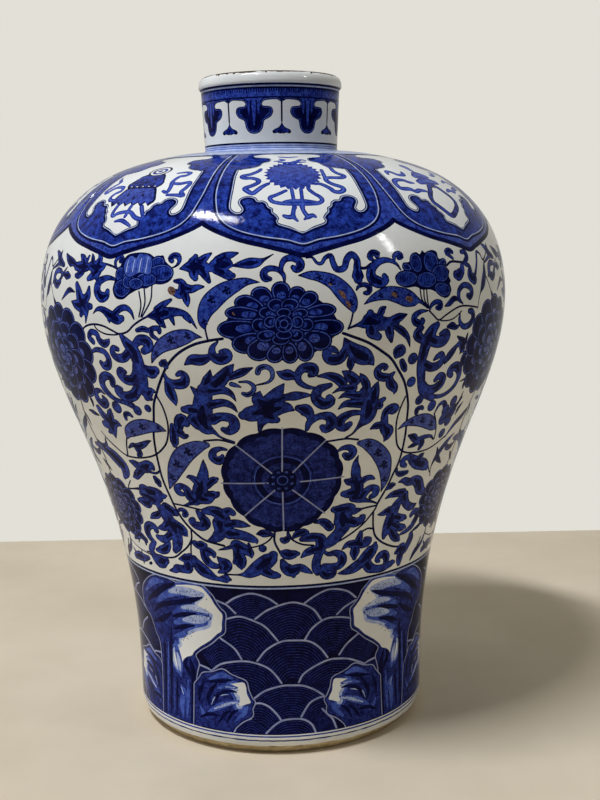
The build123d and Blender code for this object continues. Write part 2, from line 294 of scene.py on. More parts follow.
MIDDLE_LEAVES = [
    [(-19.7, 194.6, 0.6), (-17.9, 196.9, 4.2), (-15.8, 197, 4.6), (-14, 198.4, 2.6), (-13.2, 200, 2)],
    [(-11.9, 205.2, 0.8), (-13.1, 202.5, 2.2), (-13.1, 199, 3.8), (-11.7, 197.4, 4.8),
     (-10.1, 198.6, 4.6), (-10.2, 200.6, 3.2), (-11.3, 200.6, 2)],
    [(14.6, 205, 1), (14.9, 200.5, 3.6), (13.6, 196.6, 4.6), (11.6, 196.6, 4.6), (10.9, 199.4, 4.2),
     (11.9, 201, 3), (12.9, 200, 1.8)],
    [(14.6, 205.4, 1), (15.8, 202, 4.4), (17.4, 198.8, 7.4), (19.4, 196.6, 7.4), (20.8, 194.6, 4),
     (21.6, 192.6, 0.5)], [(16.2, 196, 3), (16.2, 193.4, 3.2), (16.3, 191.8, 1.6)],
    [(-14, 192.5, 0.6), (-14.7, 188, 4.5), (-15.8, 185.5, 3)],
    [(-8.9, 195, 0.8), (-10, 192.5, 4), (-11.7, 188.5, 6), (-13.3, 185.5, 6), (-15, 183.5, 5)],
    [(-10, 189, 2.4), (-7.2, 191.5, 3.4), (-4.9, 193.5, 0.8)],
    [(-15.8, 182.5, 7), (-16.4, 179, 8), (-16.9, 174.5, 9), (-17.5, 169, 10), (-16.7, 164, 7),
     (-15, 162, 2), (-13.5, 159.4, 1), (-10.4, 157, 1)], [(-17.5, 181, 4), (-18.9, 184.4, 0.8)],
    [(-18.8, 172.6, 5), (-20, 173, 5), (-21.6, 173, 3)],
    [(-17.6, 164.2, 3), (-18.8, 165, 4), (-19.6, 168, 6)],
    [(-14.7, 182.5, 4), (-11.9, 183.2, 3.6), (-10, 181.5, 2.4), (-8.9, 177.8, 0.4)],
    [(-14.7, 176, 4), (-11.9, 177, 3.4), (-10, 175.5, 2.4), (-8.8, 172.3, 0.4)],
    [(-14.9, 168.5, 5), (-12.8, 170, 4), (-10.3, 169, 4.4), (-9.9, 165, 4.6), (-11.4, 162.8, 4),
     (-12.6, 163.5, 2.4)],
    [(-4, 163, 1.4), (-3.6, 166.4, 3), (-2.6, 170.5, 8), (-1.8, 174.5, 11), (-0.6, 178.5, 8),
     (0.6, 182.6, 4.6), (1.7, 185.8, 0.8)],
    [(-2.6, 176, 8), (-4, 178.6, 5.4), (-3.8, 180.8, 3.6), (-3.5, 182.4, 0.8)],
    [(-2.5, 173, 9), (-5, 171.8, 7.6), (-6.6, 171.2, 6.6), (-7.6, 170.8, 4)],
    [(-1.5, 173, 8), (1, 174.4, 6), (2.6, 174.2, 4.4), (3.9, 173, 1)],
    [(-1.8, 171, 8), (-0.6, 169, 5), (0, 168.4, 3)],
    [(0, 178, 4), (2, 179.4, 3), (4.2, 180, 4), (6.4, 180.2, 2.2), (8, 180, 0.5)],
    [(0.2, 191.6, 0.6), (1.4, 190.4, 3.6), (2.6, 190, 4.8), (4, 189.2, 3), (4.8, 188, 2)],
    [(9.2, 183.2, 0.8), (6.8, 184.2, 1.8), (5, 186.8, 2.4), (4.8, 190.4, 3), (6, 193, 4),
     (7.8, 192.6, 4.8), (8.2, 190.6, 3.6), (7.4, 189.6, 2)],
    [(11.9, 184.5, 2), (9.4, 182.5, 4), (8.9, 178.5, 4.4), (10.6, 175.5, 5), (12.2, 176.5, 4.6),
     (11.9, 178.5, 3)], [(9, 189, 0.8), (11.4, 189, 3), (13.3, 187.5, 4), (14.7, 185, 4)],
    [(14.4, 190.8, 0.6), (15.8, 189, 4), (17.5, 186, 5)],
    [(18.6, 189.2, 0.6), (19.4, 186.8, 3), (20.4, 183.4, 3.6), (20.6, 180.4, 3)],
    [(12.5, 180.5, 0.4), (14.4, 182.5, 2), (17.2, 182.5, 4)],
    [(14, 177.8, 0.4), (15.8, 179.5, 2.6), (18.9, 178.5, 4)],
    [(14.2, 172.5, 0.5), (16.1, 175, 3.2), (19.7, 174.5, 4)],
    [(20, 170, 2), (17.5, 170, 3), (15.3, 167.5, 4.4), (15, 164.5, 4.4), (16.4, 163, 4),
     (17.5, 164.5, 2.6)],
    [(20.4, 180, 6), (21.4, 175.5, 7), (22, 171, 8), (21.6, 167, 7), (20.4, 164, 3), (19.6, 162, 1.4),
     (18.6, 159.4, 0.9), (17, 157.6, 0.9)],
    [(23.2, 184.8, 0.6), (22.8, 182, 3.6), (22.6, 178.6, 5), (22.6, 175, 5)],
    [(24.6, 172.6, 3.4), (24.4, 174.4, 3), (25.4, 175.8, 2)],
    [(5, 174, 3), (6.5, 173, 5.5), (7.6, 170.5, 4), (7.8, 168, 2.4)],
    [(7.1, 163, 1.5), (7.8, 167, 3), (10, 169.5, 3), (12.2, 169, 4.4), (13.1, 165.5, 5),
     (11.7, 162.8, 4), (10.8, 164, 2.4)],
    [(-34.8, 206.6, 2), (-33.6, 203.6, 4.6), (-32, 200, 6.4), (-31.2, 195, 6), (-30.8, 190, 5.4),
     (-30.8, 185, 4.6), (-31.4, 180.6, 4)],
    [(-31.4, 203, 3), (-29.8, 205.2, 4.4), (-28, 204.4, 5), (-27.8, 202, 4), (-29.2, 200.2, 3)],
    [(-33.4, 199, 4), (-35, 196.6, 4), (-37, 196.4, 3.6), (-38.2, 198.6, 3), (-37.6, 200.8, 2.6),
     (-36.4, 200.4, 2)],
    [(-32, 193.4, 3.4), (-32.4, 189, 4.4), (-33.8, 186.2, 4.6), (-35.8, 186.2, 4.6), (-37.2, 188.6, 4),
     (-36.6, 190.6, 3), (-35.4, 189.8, 1.8)],
    [(-32.4, 186.6, 3.4), (-33, 182, 4.6), (-34.6, 178.6, 5), (-37, 177.4, 5), (-39.2, 179.2, 4.2),
     (-39.2, 181.4, 3.2), (-37.9, 181.2, 1.8)], [(-29.4, 192, 3.4), (-28.2, 190.6, 6), (-27, 191.4, 4)],
    [(-30.2, 180, 4), (-29.2, 181.4, 3.4), (-28.6, 181.4, 1.8)], [(-30.6, 178.2, 4), (-29.8, 177.6, 2)],
    [(-40.6, 183, 3), (-40.3, 185.6, 4), (-41.8, 187.2, 3.8), (-43.8, 185.2, 4), (-44.2, 181.6, 4),
     (-43, 178, 3.2), (-41, 175.4, 2.2), (-38, 174.2, 2.2), (-35.8, 173, 3)],
    [(-45.6, 197.6, 1), (-43.4, 199.3, 2), (-40.8, 198.6, 2.6), (-39.8, 195.4, 3.2), (-40.4, 192.4, 4),
     (-41.8, 191.8, 3.6), (-42.6, 193.2, 2.4)],
    [(-44, 203, 2.6), (-45.2, 205, 2.6), (-44.2, 207.4, 2.4), (-42.4, 206.8, 2.6), (-41.8, 204, 3),
     (-40.4, 202.4, 3.4), (-39, 203.6, 2.4), (-38.6, 204.6, 1)],
    [(-25.2, 194.6, 2.4), (-24.4, 195.2, 3.6), (-24.2, 193.6, 2.4)],
    [(-44.6, 177.4, 0.8), (-46, 179, 1.8), (-48, 177.8, 3), (-48.2, 174, 4), (-46.6, 172, 4.8),
     (-45, 173.4, 4), (-45.6, 175.6, 2)],
    [(-39.6, 165.6, 1.8), (-39.4, 167.8, 2.2), (-38, 168.6, 2), (-37.2, 167.4, 1.4)],
    [(-25, 191, 0.8), (-24.4, 187.4, 2.4), (-22.8, 185.4, 4), (-20.6, 186, 4.6), (-20, 188.8, 4),
     (-20.8, 190.6, 2.8), (-21.8, 189.8, 1.6)],
    [(-24.6, 186, 2.4), (-24.2, 181.6, 5), (-23.6, 177.6, 3.4), (-23.4, 174.8, 0.5)],
    [(-24, 162.4, 3), (-23.6, 166, 5), (-22.6, 168.4, 5), (-21.8, 166, 3.6)],
    [(-24.4, 161.4, 4), (-23, 159.4, 3.4), (-22.2, 159.6, 1.6)],
    [(-25.6, 164.4, 2.4), (-25.8, 160, 4), (-26.2, 155.6, 4), (-26.4, 154, 2.4)],
    [(-42.6, 149.4, 0.8), (-40.6, 151.4, 2), (-38.8, 151, 3.2), (-36.4, 152.6, 2.8), (-34.4, 154.6, 1.4),
     (-33.4, 155.2, 0.5)], [(-39.4, 150, 3), (-38.8, 147.6, 3.6), (-39.8, 145.8, 1.6)],
    [(-46.6, 154, 1), (-46.6, 157.4, 5), (-46.4, 161, 8)],
    [(-45.4, 162, 5), (-43.6, 162.4, 3.4), (-42.4, 161.4, 1)],
    [(-45.8, 164, 5), (-45, 167.4, 4), (-44.4, 169.4, 1.4)],
    [(-47, 163, 5), (-48.8, 166.4, 4.4), (-49.8, 169.6, 2)], [(-47.4, 160.4, 5), (-49.6, 160.6, 3.4)],
    [(-47, 157.6, 4), (-48.8, 156.4, 1.4)],
    [(33.2, 203, 4), (32, 205, 4.6), (32.6, 207, 3.6), (33.4, 208, 1.6)],
    [(37.6, 208.6, 3), (36.4, 206.5, 5.5), (35.4, 203, 7), (34.6, 199, 6), (34.4, 195, 5)],
    [(35.6, 203, 5), (37.6, 201, 5), (40, 201, 5), (41.2, 203.4, 4), (40.2, 205, 3), (38.8, 204.4, 1.6)],
    [(27, 196, 2), (26.8, 198.6, 2.8), (28, 199.8, 2.8), (28.6, 197.8, 2.8), (27.6, 196.6, 2.4)],
    [(27, 188.4, 1.2), (25.6, 186.4, 3.4), (23.4, 187.2, 3.6), (22.6, 190, 3), (23.8, 192, 2.6),
     (24.8, 191.2, 2), (24.4, 190.2, 1.2)],
    [(26, 186, 3), (26.4, 183.4, 4.4), (27.6, 181, 4), (28, 179, 2), (27.9, 177.8, 0.5)],
    [(28.6, 193.4, 2.4), (29.4, 190.6, 3), (29.8, 189.2, 2)],
    [(34.4, 199, 5), (34.2, 194, 5), (34.4, 189, 5), (35, 184, 4.4), (35.6, 180, 4), (36.6, 176.6, 3.4),
     (38.4, 174.4, 2.6), (40.4, 173, 3)],
    [(35.4, 190.6, 4), (37.4, 189, 4), (39.6, 189.6, 4), (40.8, 192, 3.4), (40, 194.6, 3),
     (38.6, 193.6, 2.4), (38, 192.6, 1.4)],
    [(35.6, 181.4, 3.6), (37.4, 178.4, 4), (39.8, 177.8, 4.6), (42, 180, 5), (42.2, 182.8, 4.4),
     (40.8, 184, 3.4), (39.8, 182.4, 2.4)],
    [(37, 177, 1.6), (39.6, 174.6, 1.8), (42.6, 173.4, 1.8), (45.4, 174.4, 2), (47.6, 177, 2.4),
     (48.6, 180.6, 3), (48.4, 184.4, 4), (46.8, 187.4, 4.6), (44.8, 187, 4), (44.2, 185, 3.4),
     (45.4, 183.4, 2.6)], [(36.2, 166.4, 2), (36, 168.4, 2.4), (37.4, 169, 2), (38, 168.2, 1.4)],
    [(41.6, 190, 0.6), (42.6, 193, 3.4), (44, 195.6, 3.4), (45, 197.6, 2), (46.4, 198.6, 3.4),
     (47.6, 196, 4)], [(48.8, 193.6, 2), (48.6, 190.4, 3.6), (48.8, 188.4, 2.4)],
    [(43, 164.6, 0.8), (43.8, 168.6, 1.6), (45.4, 169.6, 2), (46.6, 167.4, 3)],
    [(35.6, 154.8, 1), (37.4, 153.6, 3.4), (39.2, 151.4, 3), (41.6, 152.2, 2.4), (44.4, 152, 1.4),
     (46.4, 149.6, 0.7)], [(40.6, 151, 3.4), (41.6, 148.6, 3.6), (41.2, 146.4, 2)],
    [(36.8, 148.2, 1), (38.4, 149, 2.4), (39.8, 149.4, 2)],
    [(26.4, 166.6, 3), (26.8, 169.8, 3.6), (28.4, 171.6, 3), (29.6, 170.4, 2.4), (28.8, 168.8, 2.4),
     (27.8, 168.6, 1.4)],
    [(26.6, 166, 3.4), (27, 161.5, 4.6), (28.4, 158.6, 6), (28.4, 155.6, 3.6), (28, 153.8, 1)],
    [(26.4, 162.4, 3), (24.6, 162.4, 3.4), (23.4, 161.2, 1.2)],
    [(-61, 146.5, 2), (-56, 146, 5), (-51.5, 142.5, 8), (-48.6, 138, 8), (-48.6, 134.4, 6),
     (-50, 131.2, 2)],
]
LOWER_LEAVES = [
    [(-12.6, 153, 1.2), (-14.2, 153.4, 2), (-16, 151.8, 3), (-16.4, 148.6, 4), (-15, 147, 4.4),
     (-14, 148.6, 3), (-13.8, 149.8, 1.4)],
    [(15.4, 150.8, 1), (16.6, 152.2, 2), (18.4, 152.2, 3), (19.6, 149.6, 3.6), (18.6, 147.2, 4),
     (17.4, 148.4, 2.6)], [(-6.4, 108, 1), (-5, 108.4, 3.6), (-3.4, 108.2, 3.4), (-1.6, 107.6, 1.2)],
    [(-18, 85.6, 0.8), (-13, 85.8, 1), (-10, 86.6, 4.5), (-7, 89.5, 7), (-4.5, 92.5, 7.5),
     (-2.6, 95, 6.5), (-1.8, 96.8, 4)],
    [(-4.5, 88, 5), (-2.5, 86.3, 4), (-1, 85.8, 3.4), (-0.4, 85.6, 2.4)],
    [(0.2, 98.5, 1), (1.6, 97.5, 4.5), (3.2, 96.6, 5), (5.2, 97, 3.4), (5.8, 97, 2)],
    [(1, 93.5, 2), (2, 90, 5), (4, 88, 6), (6.6, 89.4, 4), (9, 87.6, 2.5), (10.6, 86, 0.8)],
    [(4.5, 86.4, 3.6), (4.6, 85, 1.6)],
    [(2.6, 108.6, 0.8), (3, 106.6, 2), (2.4, 105, 3), (1.6, 104, 2.8), (1, 105, 2)],
    [(4.4, 105.8, 1.4), (5.6, 107.6, 3.4), (7.4, 108.6, 3.4), (8.4, 108.2, 2)],
    [(7, 104.6, 2.4), (8.6, 105.2, 4), (10.4, 105.4, 4.4), (12.6, 105, 4)],
    [(-15.6, 112, 4), (-13, 113.4, 4), (-10.6, 113, 3.4), (-8.3, 112.2, 0.6)],
    [(-15, 108, 6), (-12, 107.5, 5), (-9, 106, 4.4), (-7, 104.2, 2.6), (-6.7, 103.2, 1)],
    [(-13, 101.5, 6), (-10.5, 99.6, 5), (-9, 97.4, 4), (-8.6, 95.4, 1)],
    [(-13, 98.5, 4), (-12.4, 94, 6), (-12.2, 90.5, 4), (-12.2, 88.8, 0.8)],
    [(12.8, 104, 5), (13.2, 100, 5), (12.4, 95.6, 4), (11.8, 91.6, 4), (12, 88, 4), (12.4, 85.6, 2)],
    [(7, 95, 1), (8.6, 97.2, 3.4), (10.4, 98.4, 4), (12.6, 99, 4)],
    [(10.6, 113, 0.8), (12.4, 113.6, 3), (14, 112.4, 4), (15.4, 110, 4)],
    [(14, 97.4, 1), (15.6, 95.6, 2), (18, 95.8, 3), (20, 94, 4), (20.6, 91, 4.4), (19.4, 88.6, 4),
     (17, 88.4, 3.6), (14.6, 88.6, 4)],
    [(13.8, 89.2, 1), (14, 86.4, 3.4), (15.4, 84.4, 4.4), (17.4, 84.6, 4), (18, 86.2, 2.6)],
    [(-23.5, 125, 5), (-22, 130, 7), (-20.8, 135, 6), (-19.8, 140, 4.5), (-19.4, 144, 2.4),
     (-19.2, 147.3, 0.4)], [(-21.5, 133, 4), (-23, 136.2, 3.4), (-24.4, 137.2, 2), (-25.2, 136.8, 0.6)],
    [(-19.5, 133, 3), (-18, 135.6, 3.4), (-16.8, 136.8, 3), (-16.3, 137.2, 1.6)],
    [(-20.5, 128, 4), (-18.2, 128.4, 4), (-17, 129, 3), (-16.6, 129.6, 1.6)],
    [(-24, 124, 4), (-25.6, 126.5, 4.4), (-26, 130, 4), (-27.6, 131.8, 3), (-29.2, 130.2, 3.4),
     (-28.8, 128, 3.2), (-27.6, 127.4, 2)], [(-24, 124, 3), (-26.5, 122.2, 1.4), (-28.2, 121.2, 0.6)],
    [(-22, 126, 6), (-20, 125.4, 4), (-18.6, 126.4, 2)],
    [(-21.8, 119, 3), (-19.5, 119.5, 5), (-17.5, 118.5, 6.5), (-16, 116, 6)],
    [(-15, 119.5, 4), (-14, 120.4, 3), (-13.2, 119, 3)],
    [(-24, 118.6, 2), (-23, 116, 4), (-22, 113, 5), (-23.5, 110.6, 4.6), (-25.6, 111.2, 4),
     (-26.8, 113, 3), (-26, 114, 2.4)],
    [(-17.5, 113, 7), (-17.6, 108.5, 6), (-19, 105.5, 5), (-21, 103.6, 2.6), (-22.8, 102.6, 0.6)],
    [(-31, 117, 0.8), (-30, 118.6, 1.6), (-28.8, 118.4, 2.4), (-28.2, 116.8, 3), (-28.8, 115.8, 2.4)],
    [(-27, 101, 3), (-25.8, 100, 4), (-24.4, 100.6, 4), (-23.4, 100.6, 2)],
    [(-24.6, 98, 3), (-24.2, 94, 4), (-23.4, 91.6, 4), (-22, 90, 3.6), (-20, 89.6, 2.4)],
    [(-24, 98, 3), (-22.6, 97.4, 4), (-21.2, 96, 3.6), (-21, 94.8, 1.6)],
    [(-19.8, 94.6, 1), (-18.4, 92.4, 4.5), (-17, 90.6, 5.5), (-18, 88, 4), (-20, 86.4, 1.2)],
    [(-28.3, 92.6, 3), (-27.6, 90, 5.5), (-26, 87, 6.6), (-24, 85.2, 5.6), (-22.2, 83.6, 3.6),
     (-20.4, 82.8, 2), (-18.6, 83, 3.6), (-17.2, 83.2, 4), (-16.4, 83, 1.6)],
    [(-34.6, 90.8, 0.8), (-33, 91.2, 3), (-31, 92, 5), (-29.8, 93.4, 3)],
    [(-31, 89, 5), (-31.4, 86.4, 5), (-33.4, 85.6, 4), (-36, 85.4, 4), (-37.4, 84, 3),
     (-39.8, 83.2, 0.8)],
    [(-40.6, 88.5, 4), (-42.5, 87.5, 7), (-44.5, 86.5, 6), (-46, 88.5, 5), (-47.2, 92, 4),
     (-45.4, 95.6, 3), (-44, 96.6, 1.2)],
    [(-44.2, 93, 1.6), (-42, 93.6, 4), (-39.6, 95, 4.6), (-38, 97.4, 3.4), (-37.4, 99, 2)],
    [(-42, 104.5, 3.4), (-42.4, 106.2, 3.6), (-44.4, 106.6, 4), (-46.4, 104.4, 4.4), (-46.8, 101.4, 4.4),
     (-45.8, 98.8, 3.4), (-44, 97.4, 1.6)],
    [(-43, 110.8, 1), (-41.4, 112.4, 3), (-39.4, 113.6, 3.4), (-38, 115.4, 2)],
    [(-46.4, 119.6, 2), (-44.8, 119.6, 4.4), (-42.6, 119, 5), (-40.8, 120.8, 3)],
    [(-49.8, 125.2, 0.7), (-45, 126.2, 0.9), (-43.6, 126.6, 3.6), (-42, 127.6, 4), (-40.6, 126, 6),
     (-38.4, 126, 6), (-36.6, 126, 5), (-35, 125, 3.4), (-33.6, 125.4, 0.8)],
    [(-44, 124, 3), (-41.5, 123, 5), (-39, 121.6, 5), (-36.4, 123, 3)],
    [(-38.2, 119.6, 3), (-36.6, 116, 6), (-35.2, 112, 7), (-34, 108.6, 8), (-33.6, 105, 7),
     (-33.6, 101, 6), (-34.4, 97.4, 5), (-35.4, 95.2, 3)],
    [(-35, 118.8, 5), (-33, 117, 5), (-31.8, 116.2, 3)],
    [(-35.6, 110, 5), (-37.6, 107.4, 4), (-39.6, 106.4, 2.4), (-41, 106, 0.6)],
    [(-35.6, 104, 4), (-38, 101.2, 3.6), (-40, 100.2, 4), (-42, 100.8, 2.6)],
    [(-33, 110, 5), (-31, 108, 5), (-30, 105.6, 4), (-29.2, 104.2, 0.6)],
    [(-44.2, 141.6, 1.4), (-42.6, 140.8, 4), (-40.6, 139.4, 5), (-38.6, 139.8, 6), (-37, 141.4, 5),
     (-36, 141.4, 3.6), (-35.8, 139.8, 2.4)],
    [(-40.6, 137.6, 4), (-42.6, 135.2, 4), (-44, 133.4, 3.4), (-45.2, 132.8, 1)],
    [(-37.6, 137.8, 1.6), (-35.8, 137.2, 1.2), (-34.4, 137.8, 1), (-33.6, 139, 0.8)],
    [(-36, 134.4, 2.6), (-35.4, 132.4, 4), (-35.2, 131, 2.4)],
    [(21.2, 147.6, 0.4), (20.8, 143.6, 2.6), (21.2, 139.6, 4.4), (21.6, 135.6, 4.6), (22.4, 131, 6),
     (22.8, 127, 6)], [(21, 133.4, 4), (19.6, 133.8, 3.6), (18.6, 134.6, 1.6)],
    [(23, 132.6, 4), (24.8, 134.4, 3), (26.2, 134.6, 2.4), (27.5, 133.6, 1)],
    [(21.4, 127.6, 5), (19.8, 127.2, 4.4), (18.6, 127.4, 3)],
    [(24.2, 124.6, 5), (25.6, 127.4, 4), (27, 128.8, 3.4), (28.8, 127.6, 3.6), (28.8, 125.2, 3.6),
     (27.6, 124, 2.6)], [(22, 125, 5), (24, 123.6, 4), (26, 122.4, 2), (28.4, 121, 1), (30, 119.8, 0.8)],
    [(16.2, 119.4, 3), (18, 119, 5), (21, 119.6, 4.4), (22.4, 117.4, 4), (25, 117.8, 1.2)],
    [(18.8, 117, 7), (19.4, 113.4, 9), (19.6, 110, 8), (18.6, 106.6, 6), (16.6, 103, 6),
     (15.2, 101.4, 5)],
    [(21, 112.6, 5), (23.4, 111, 5), (25.4, 112, 4), (26, 113.6, 2.6), (25.2, 114, 1.6)],
    [(26, 105, 2), (25.8, 102.6, 3.4), (25.6, 99.6, 4), (27, 98.4, 4), (29, 98.8, 4), (29.6, 100.4, 2.6),
     (28, 101.2, 2)], [(20.2, 97.2, 0.8), (21.8, 99.4, 3), (23.6, 99.4, 4), (25.4, 99.4, 4)],
    [(24.6, 97.4, 4), (24.8, 94.4, 5), (24.9, 91.4, 2)],
    [(19.4, 84.4, 0.6), (22, 84.8, 3), (25, 86.2, 5.4), (27.6, 88.4, 6), (29.4, 91, 7), (31, 93.6, 7),
     (32, 95.8, 5), (32.2, 97.4, 2)],
    [(30, 87, 5), (31.4, 84.6, 5), (34, 83.2, 4), (37, 82.8, 4), (39.6, 83.6, 3.6), (41.4, 84.2, 3.2),
     (42.3, 84.2, 1.6)],
    [(38.2, 85, 3), (38.2, 88, 4), (36.8, 90.4, 4), (35, 90, 4), (34.2, 88, 3), (35, 87, 1.6)],
    [(37.6, 138, 2), (36.4, 139.2, 3), (36.2, 141.6, 3), (38, 142.6, 3), (40, 140.4, 5), (42.4, 138, 6),
     (45, 136.6, 6), (47, 134.6, 4.4), (47.8, 133.4, 2)],
    [(42, 140, 4), (43.4, 142, 3), (43.9, 142.8, 1)],
    [(34.6, 137.4, 1), (35, 135, 1.6), (36.8, 133.8, 3), (39, 134, 2)],
    [(36.8, 129.4, 1), (38.6, 129.8, 3), (41, 128.2, 4), (43.4, 128.4, 5), (45.6, 126.4, 6),
     (47.4, 122.6, 6), (49.4, 120.4, 4)],
    [(33, 121.6, 0.8), (35, 123, 3), (37.4, 123.2, 4), (39.6, 123, 4)],
    [(32.8, 127.2, 2), (34.2, 128.2, 3.4), (35.2, 128.4, 1.6)],
    [(40.6, 121, 5), (41.4, 118, 4.6), (43, 115, 4), (45, 113.4, 4), (46.6, 113.4, 3), (47.4, 114, 1.4)],
    [(39.4, 119.6, 4), (38, 116, 6), (37.2, 112, 7), (37, 108, 8), (36.4, 104.4, 7), (35.6, 101.4, 4),
     (35.4, 99.8, 2)], [(31.4, 113.2, 0.8), (33.4, 113.6, 3), (35.4, 114.6, 4)],
    [(38.6, 110, 4), (41, 108.6, 4), (43.2, 108, 3), (44, 107.6, 1.4)],
    [(38.4, 106, 4), (41.4, 103.4, 4), (43.6, 102.6, 3.4), (44.8, 102.2, 1.4)],
    [(38, 103, 4), (39.8, 99.4, 4.4), (41.8, 97.2, 3.6), (42.8, 96, 1.6)],
    [(46.6, 108.6, 3), (47.6, 110, 3.4), (49.4, 109, 3.4), (50, 106.4, 4), (49, 103.6, 4),
     (48, 101.6, 3.4), (45.6, 100, 2.4), (43, 99.2, 1.4)],
    [(42.4, 89.4, 2), (44.4, 90.6, 6), (46.6, 90, 6), (48.4, 91.8, 4), (49.4, 94.6, 4), (48.8, 97.2, 3)],
    [(45, 88, 5), (45, 84.4, 4.4), (45.2, 82.4, 2.4)],
    [(-49, 97, 3), (-52, 99, 4), (-55, 97, 3), (-56.5, 95.4, 1)],
    [(-50, 87, 2), (-53, 86, 4), (-56, 86, 5), (-60, 84.6, 3)],
]
SIDE_LEAVES = [
    [(-58.7, 244, 0.5), (-59.1, 241.2, 2.6), (-59.1, 238, 1.9), (-62.6, 235, 0.9)],
    [(-62.7, 235.5, 0.8), (-63.8, 231.2, 0.9), (-62.4, 226.8, 0.6), (-60.8, 222, 0.6),
     (-59.6, 218.8, 2.2), (-58.1, 215.5, 1.3)],
    [(-49.6, 225, 0.4), (-52, 225.8, 2.2), (-53.9, 223.8, 1.7), (-55.9, 220.8, 0.4)],
    [(-55.2, 241.8, 1), (-52.2, 238.8, 3), (-49.5, 236.8, 1.5)],
    [(-55.2, 166.8, 0.6), (-52.9, 166, 2.3), (-50.5, 165, 0.6)],
    [(-49.3, 171.2, 0.4), (-48.5, 168.5, 1.5), (-47.5, 165.8, 0.6)],
    [(-58.8, 165.2, 0.4), (-58, 161.8, 1.4), (-57.6, 157.5, 0.5)],
    [(-52.3, 177.8, 0.6), (-51.5, 172.2, 1.9), (-51.9, 169.2, 0.5)],
    [(60, 240, 0.5), (56.9, 236.2, 0.8), (55.9, 238.8, 0.8), (54.3, 240.2, 1.3), (53.3, 235.5, 1.3),
     (52.1, 231, 1.5), (50.7, 227, 2.7)],
    [(57.1, 234, 0.6), (56.3, 229.5, 3), (55.1, 225, 3.6), (53.6, 221.2, 0.8), (52.7, 217.5, 0.5),
     (52.3, 214, 0.5)], [(61.3, 236.5, 0.6), (59.7, 232, 2.2), (58.4, 228.2, 0.9)],
    [(65.9, 236.2, 0.6), (63.6, 231.8, 1.8), (61.4, 227.8, 0.9)],
    [(44.8, 202.2, 0.8), (47.7, 198.5, 3.6), (46.9, 193.8, 0.9)],
    [(48.8, 203, 0.8), (48.3, 199.2, 2.3), (47.8, 197.5, 1.3)],
    [(41.7, 189.5, 0.4), (43.4, 193.2, 2.2), (45.4, 197.8, 1)],
    [(49.6, 193.5, 1), (49, 190.5, 2.2), (48.8, 184.8, 0.6)],
    [(50, 179.2, 0.5), (52.5, 179.8, 1.4), (52.4, 177, 1.9), (52.6, 174.5, 0.5)],
    [(53.6, 173.2, 0.4), (53.1, 169.2, 1.5), (52.4, 166, 0.5)],
    [(49.5, 170.2, 0.5), (49.8, 165.8, 2.2), (49.4, 161.8, 1.9), (48.2, 158.5, 0.9)],
    [(55.5, 167.2, 0.6), (53.9, 164, 2.1), (53.5, 160.8, 0.6)],
    [(-19.1, 98.5, 0.5), (-16, 100, 1.6), (-12.7, 102, 2)],
    [(-12.4, 102.8, 2.2), (-12.9, 97.8, 2.4), (-14.3, 92.2, 1.7)],
    [(-9.2, 102.8, 1.1), (-9, 98.5, 2.5), (-8.7, 95.2, 0.5)],
    [(-60.7, 93.8, 0.5), (-55.7, 91, 0.5), (-48.2, 89.2, 0.6)],
    [(-54.2, 94.2, 0.7), (-52.6, 97.2, 1.3), (-50, 97.8, 1.8), (-49.6, 94.5, 1.3)],
    [(-60, 89, 0.9), (-58.3, 86.5, 2), (-54.7, 86, 2.2), (-53.9, 83.2, 0.8)],
    [(-50.1, 83.8, 1.3), (-49, 84.5, 1.3)], [(-63.3, 92.8, 0.9), (-65.9, 86, 1.2), (-66.5, 83.2, 0.5)],
    [(-60.3, 138.8, 0.5), (-58.6, 136.2, 2.2), (-56.8, 133.2, 0.7)],
    [(-53.1, 155.8, 0.5), (-49.6, 149.5, 0.5), (-44.6, 144.2, 0.6)],
    [(-47.5, 130.2, 0.6), (-49.9, 125.2, 0.6), (-44.8, 126.8, 0.7)],
    [(57.7, 149.5, 0.6), (54.3, 145.5, 3), (51.5, 140, 3.4), (50, 133.5, 0.7), (51.1, 128.2, 0.6)],
    [(55, 102.8, 0.6), (52.7, 100.5, 1.9), (49, 98.2, 1.1), (47.2, 92.8, 0.8)],
    [(59.1, 99.8, 0.4), (59.3, 93.8, 1.2), (57.5, 88.8, 2.5), (54.1, 86, 3.1), (51.9, 82, 1.1)],
    [(66.4, 90.2, 0.6), (65.8, 86.2, 1.2), (65.6, 82.2, 0.6)],
    [(-58, 172, 0.9), (-59.2, 160, 0.9), (-58, 142, 0.9), (-58.6, 130, 0.9)],
    [(-59, 163, 0.8), (-61.5, 159, 3.2), (-65, 155, 2.6), (-68, 149, 0.8)],
    [(-58.4, 150, 0.8), (-56, 147, 2.8), (-53.4, 148, 2.4), (-52.4, 152, 0.8)],
    [(-58.4, 146, 0.8), (-61.2, 142, 2.8), (-64.4, 142.6, 2.6), (-65.8, 147, 0.8)],
    [(-66, 170, 0.8), (-69, 164, 3), (-72, 160, 0.8)],
    [(-70, 144, 0.8), (-68, 138, 3), (-64.6, 134, 0.8)],
]
PALE_CURLS = [
    [(-3.8, 191.2, 2.6), (-3.4, 193.2, 2.8), (-2.1, 194, 2.6), (-0.9, 192.5, 2.4), (-0.7, 189.2, 2),
     (-1.7, 186.8, 1.4), (-4.2, 185.5, 0.8)],
    [(-7.2, 181.5, 2), (-6.2, 180.9, 2.6), (-5, 182.5, 2.4), (-4.8, 185, 2.2), (-6, 187, 1.6),
     (-7.9, 187, 1)], [(-9.6, 186, 2.4), (-8.6, 185.4, 2), (-7.6, 184.6, 0.8)],
]

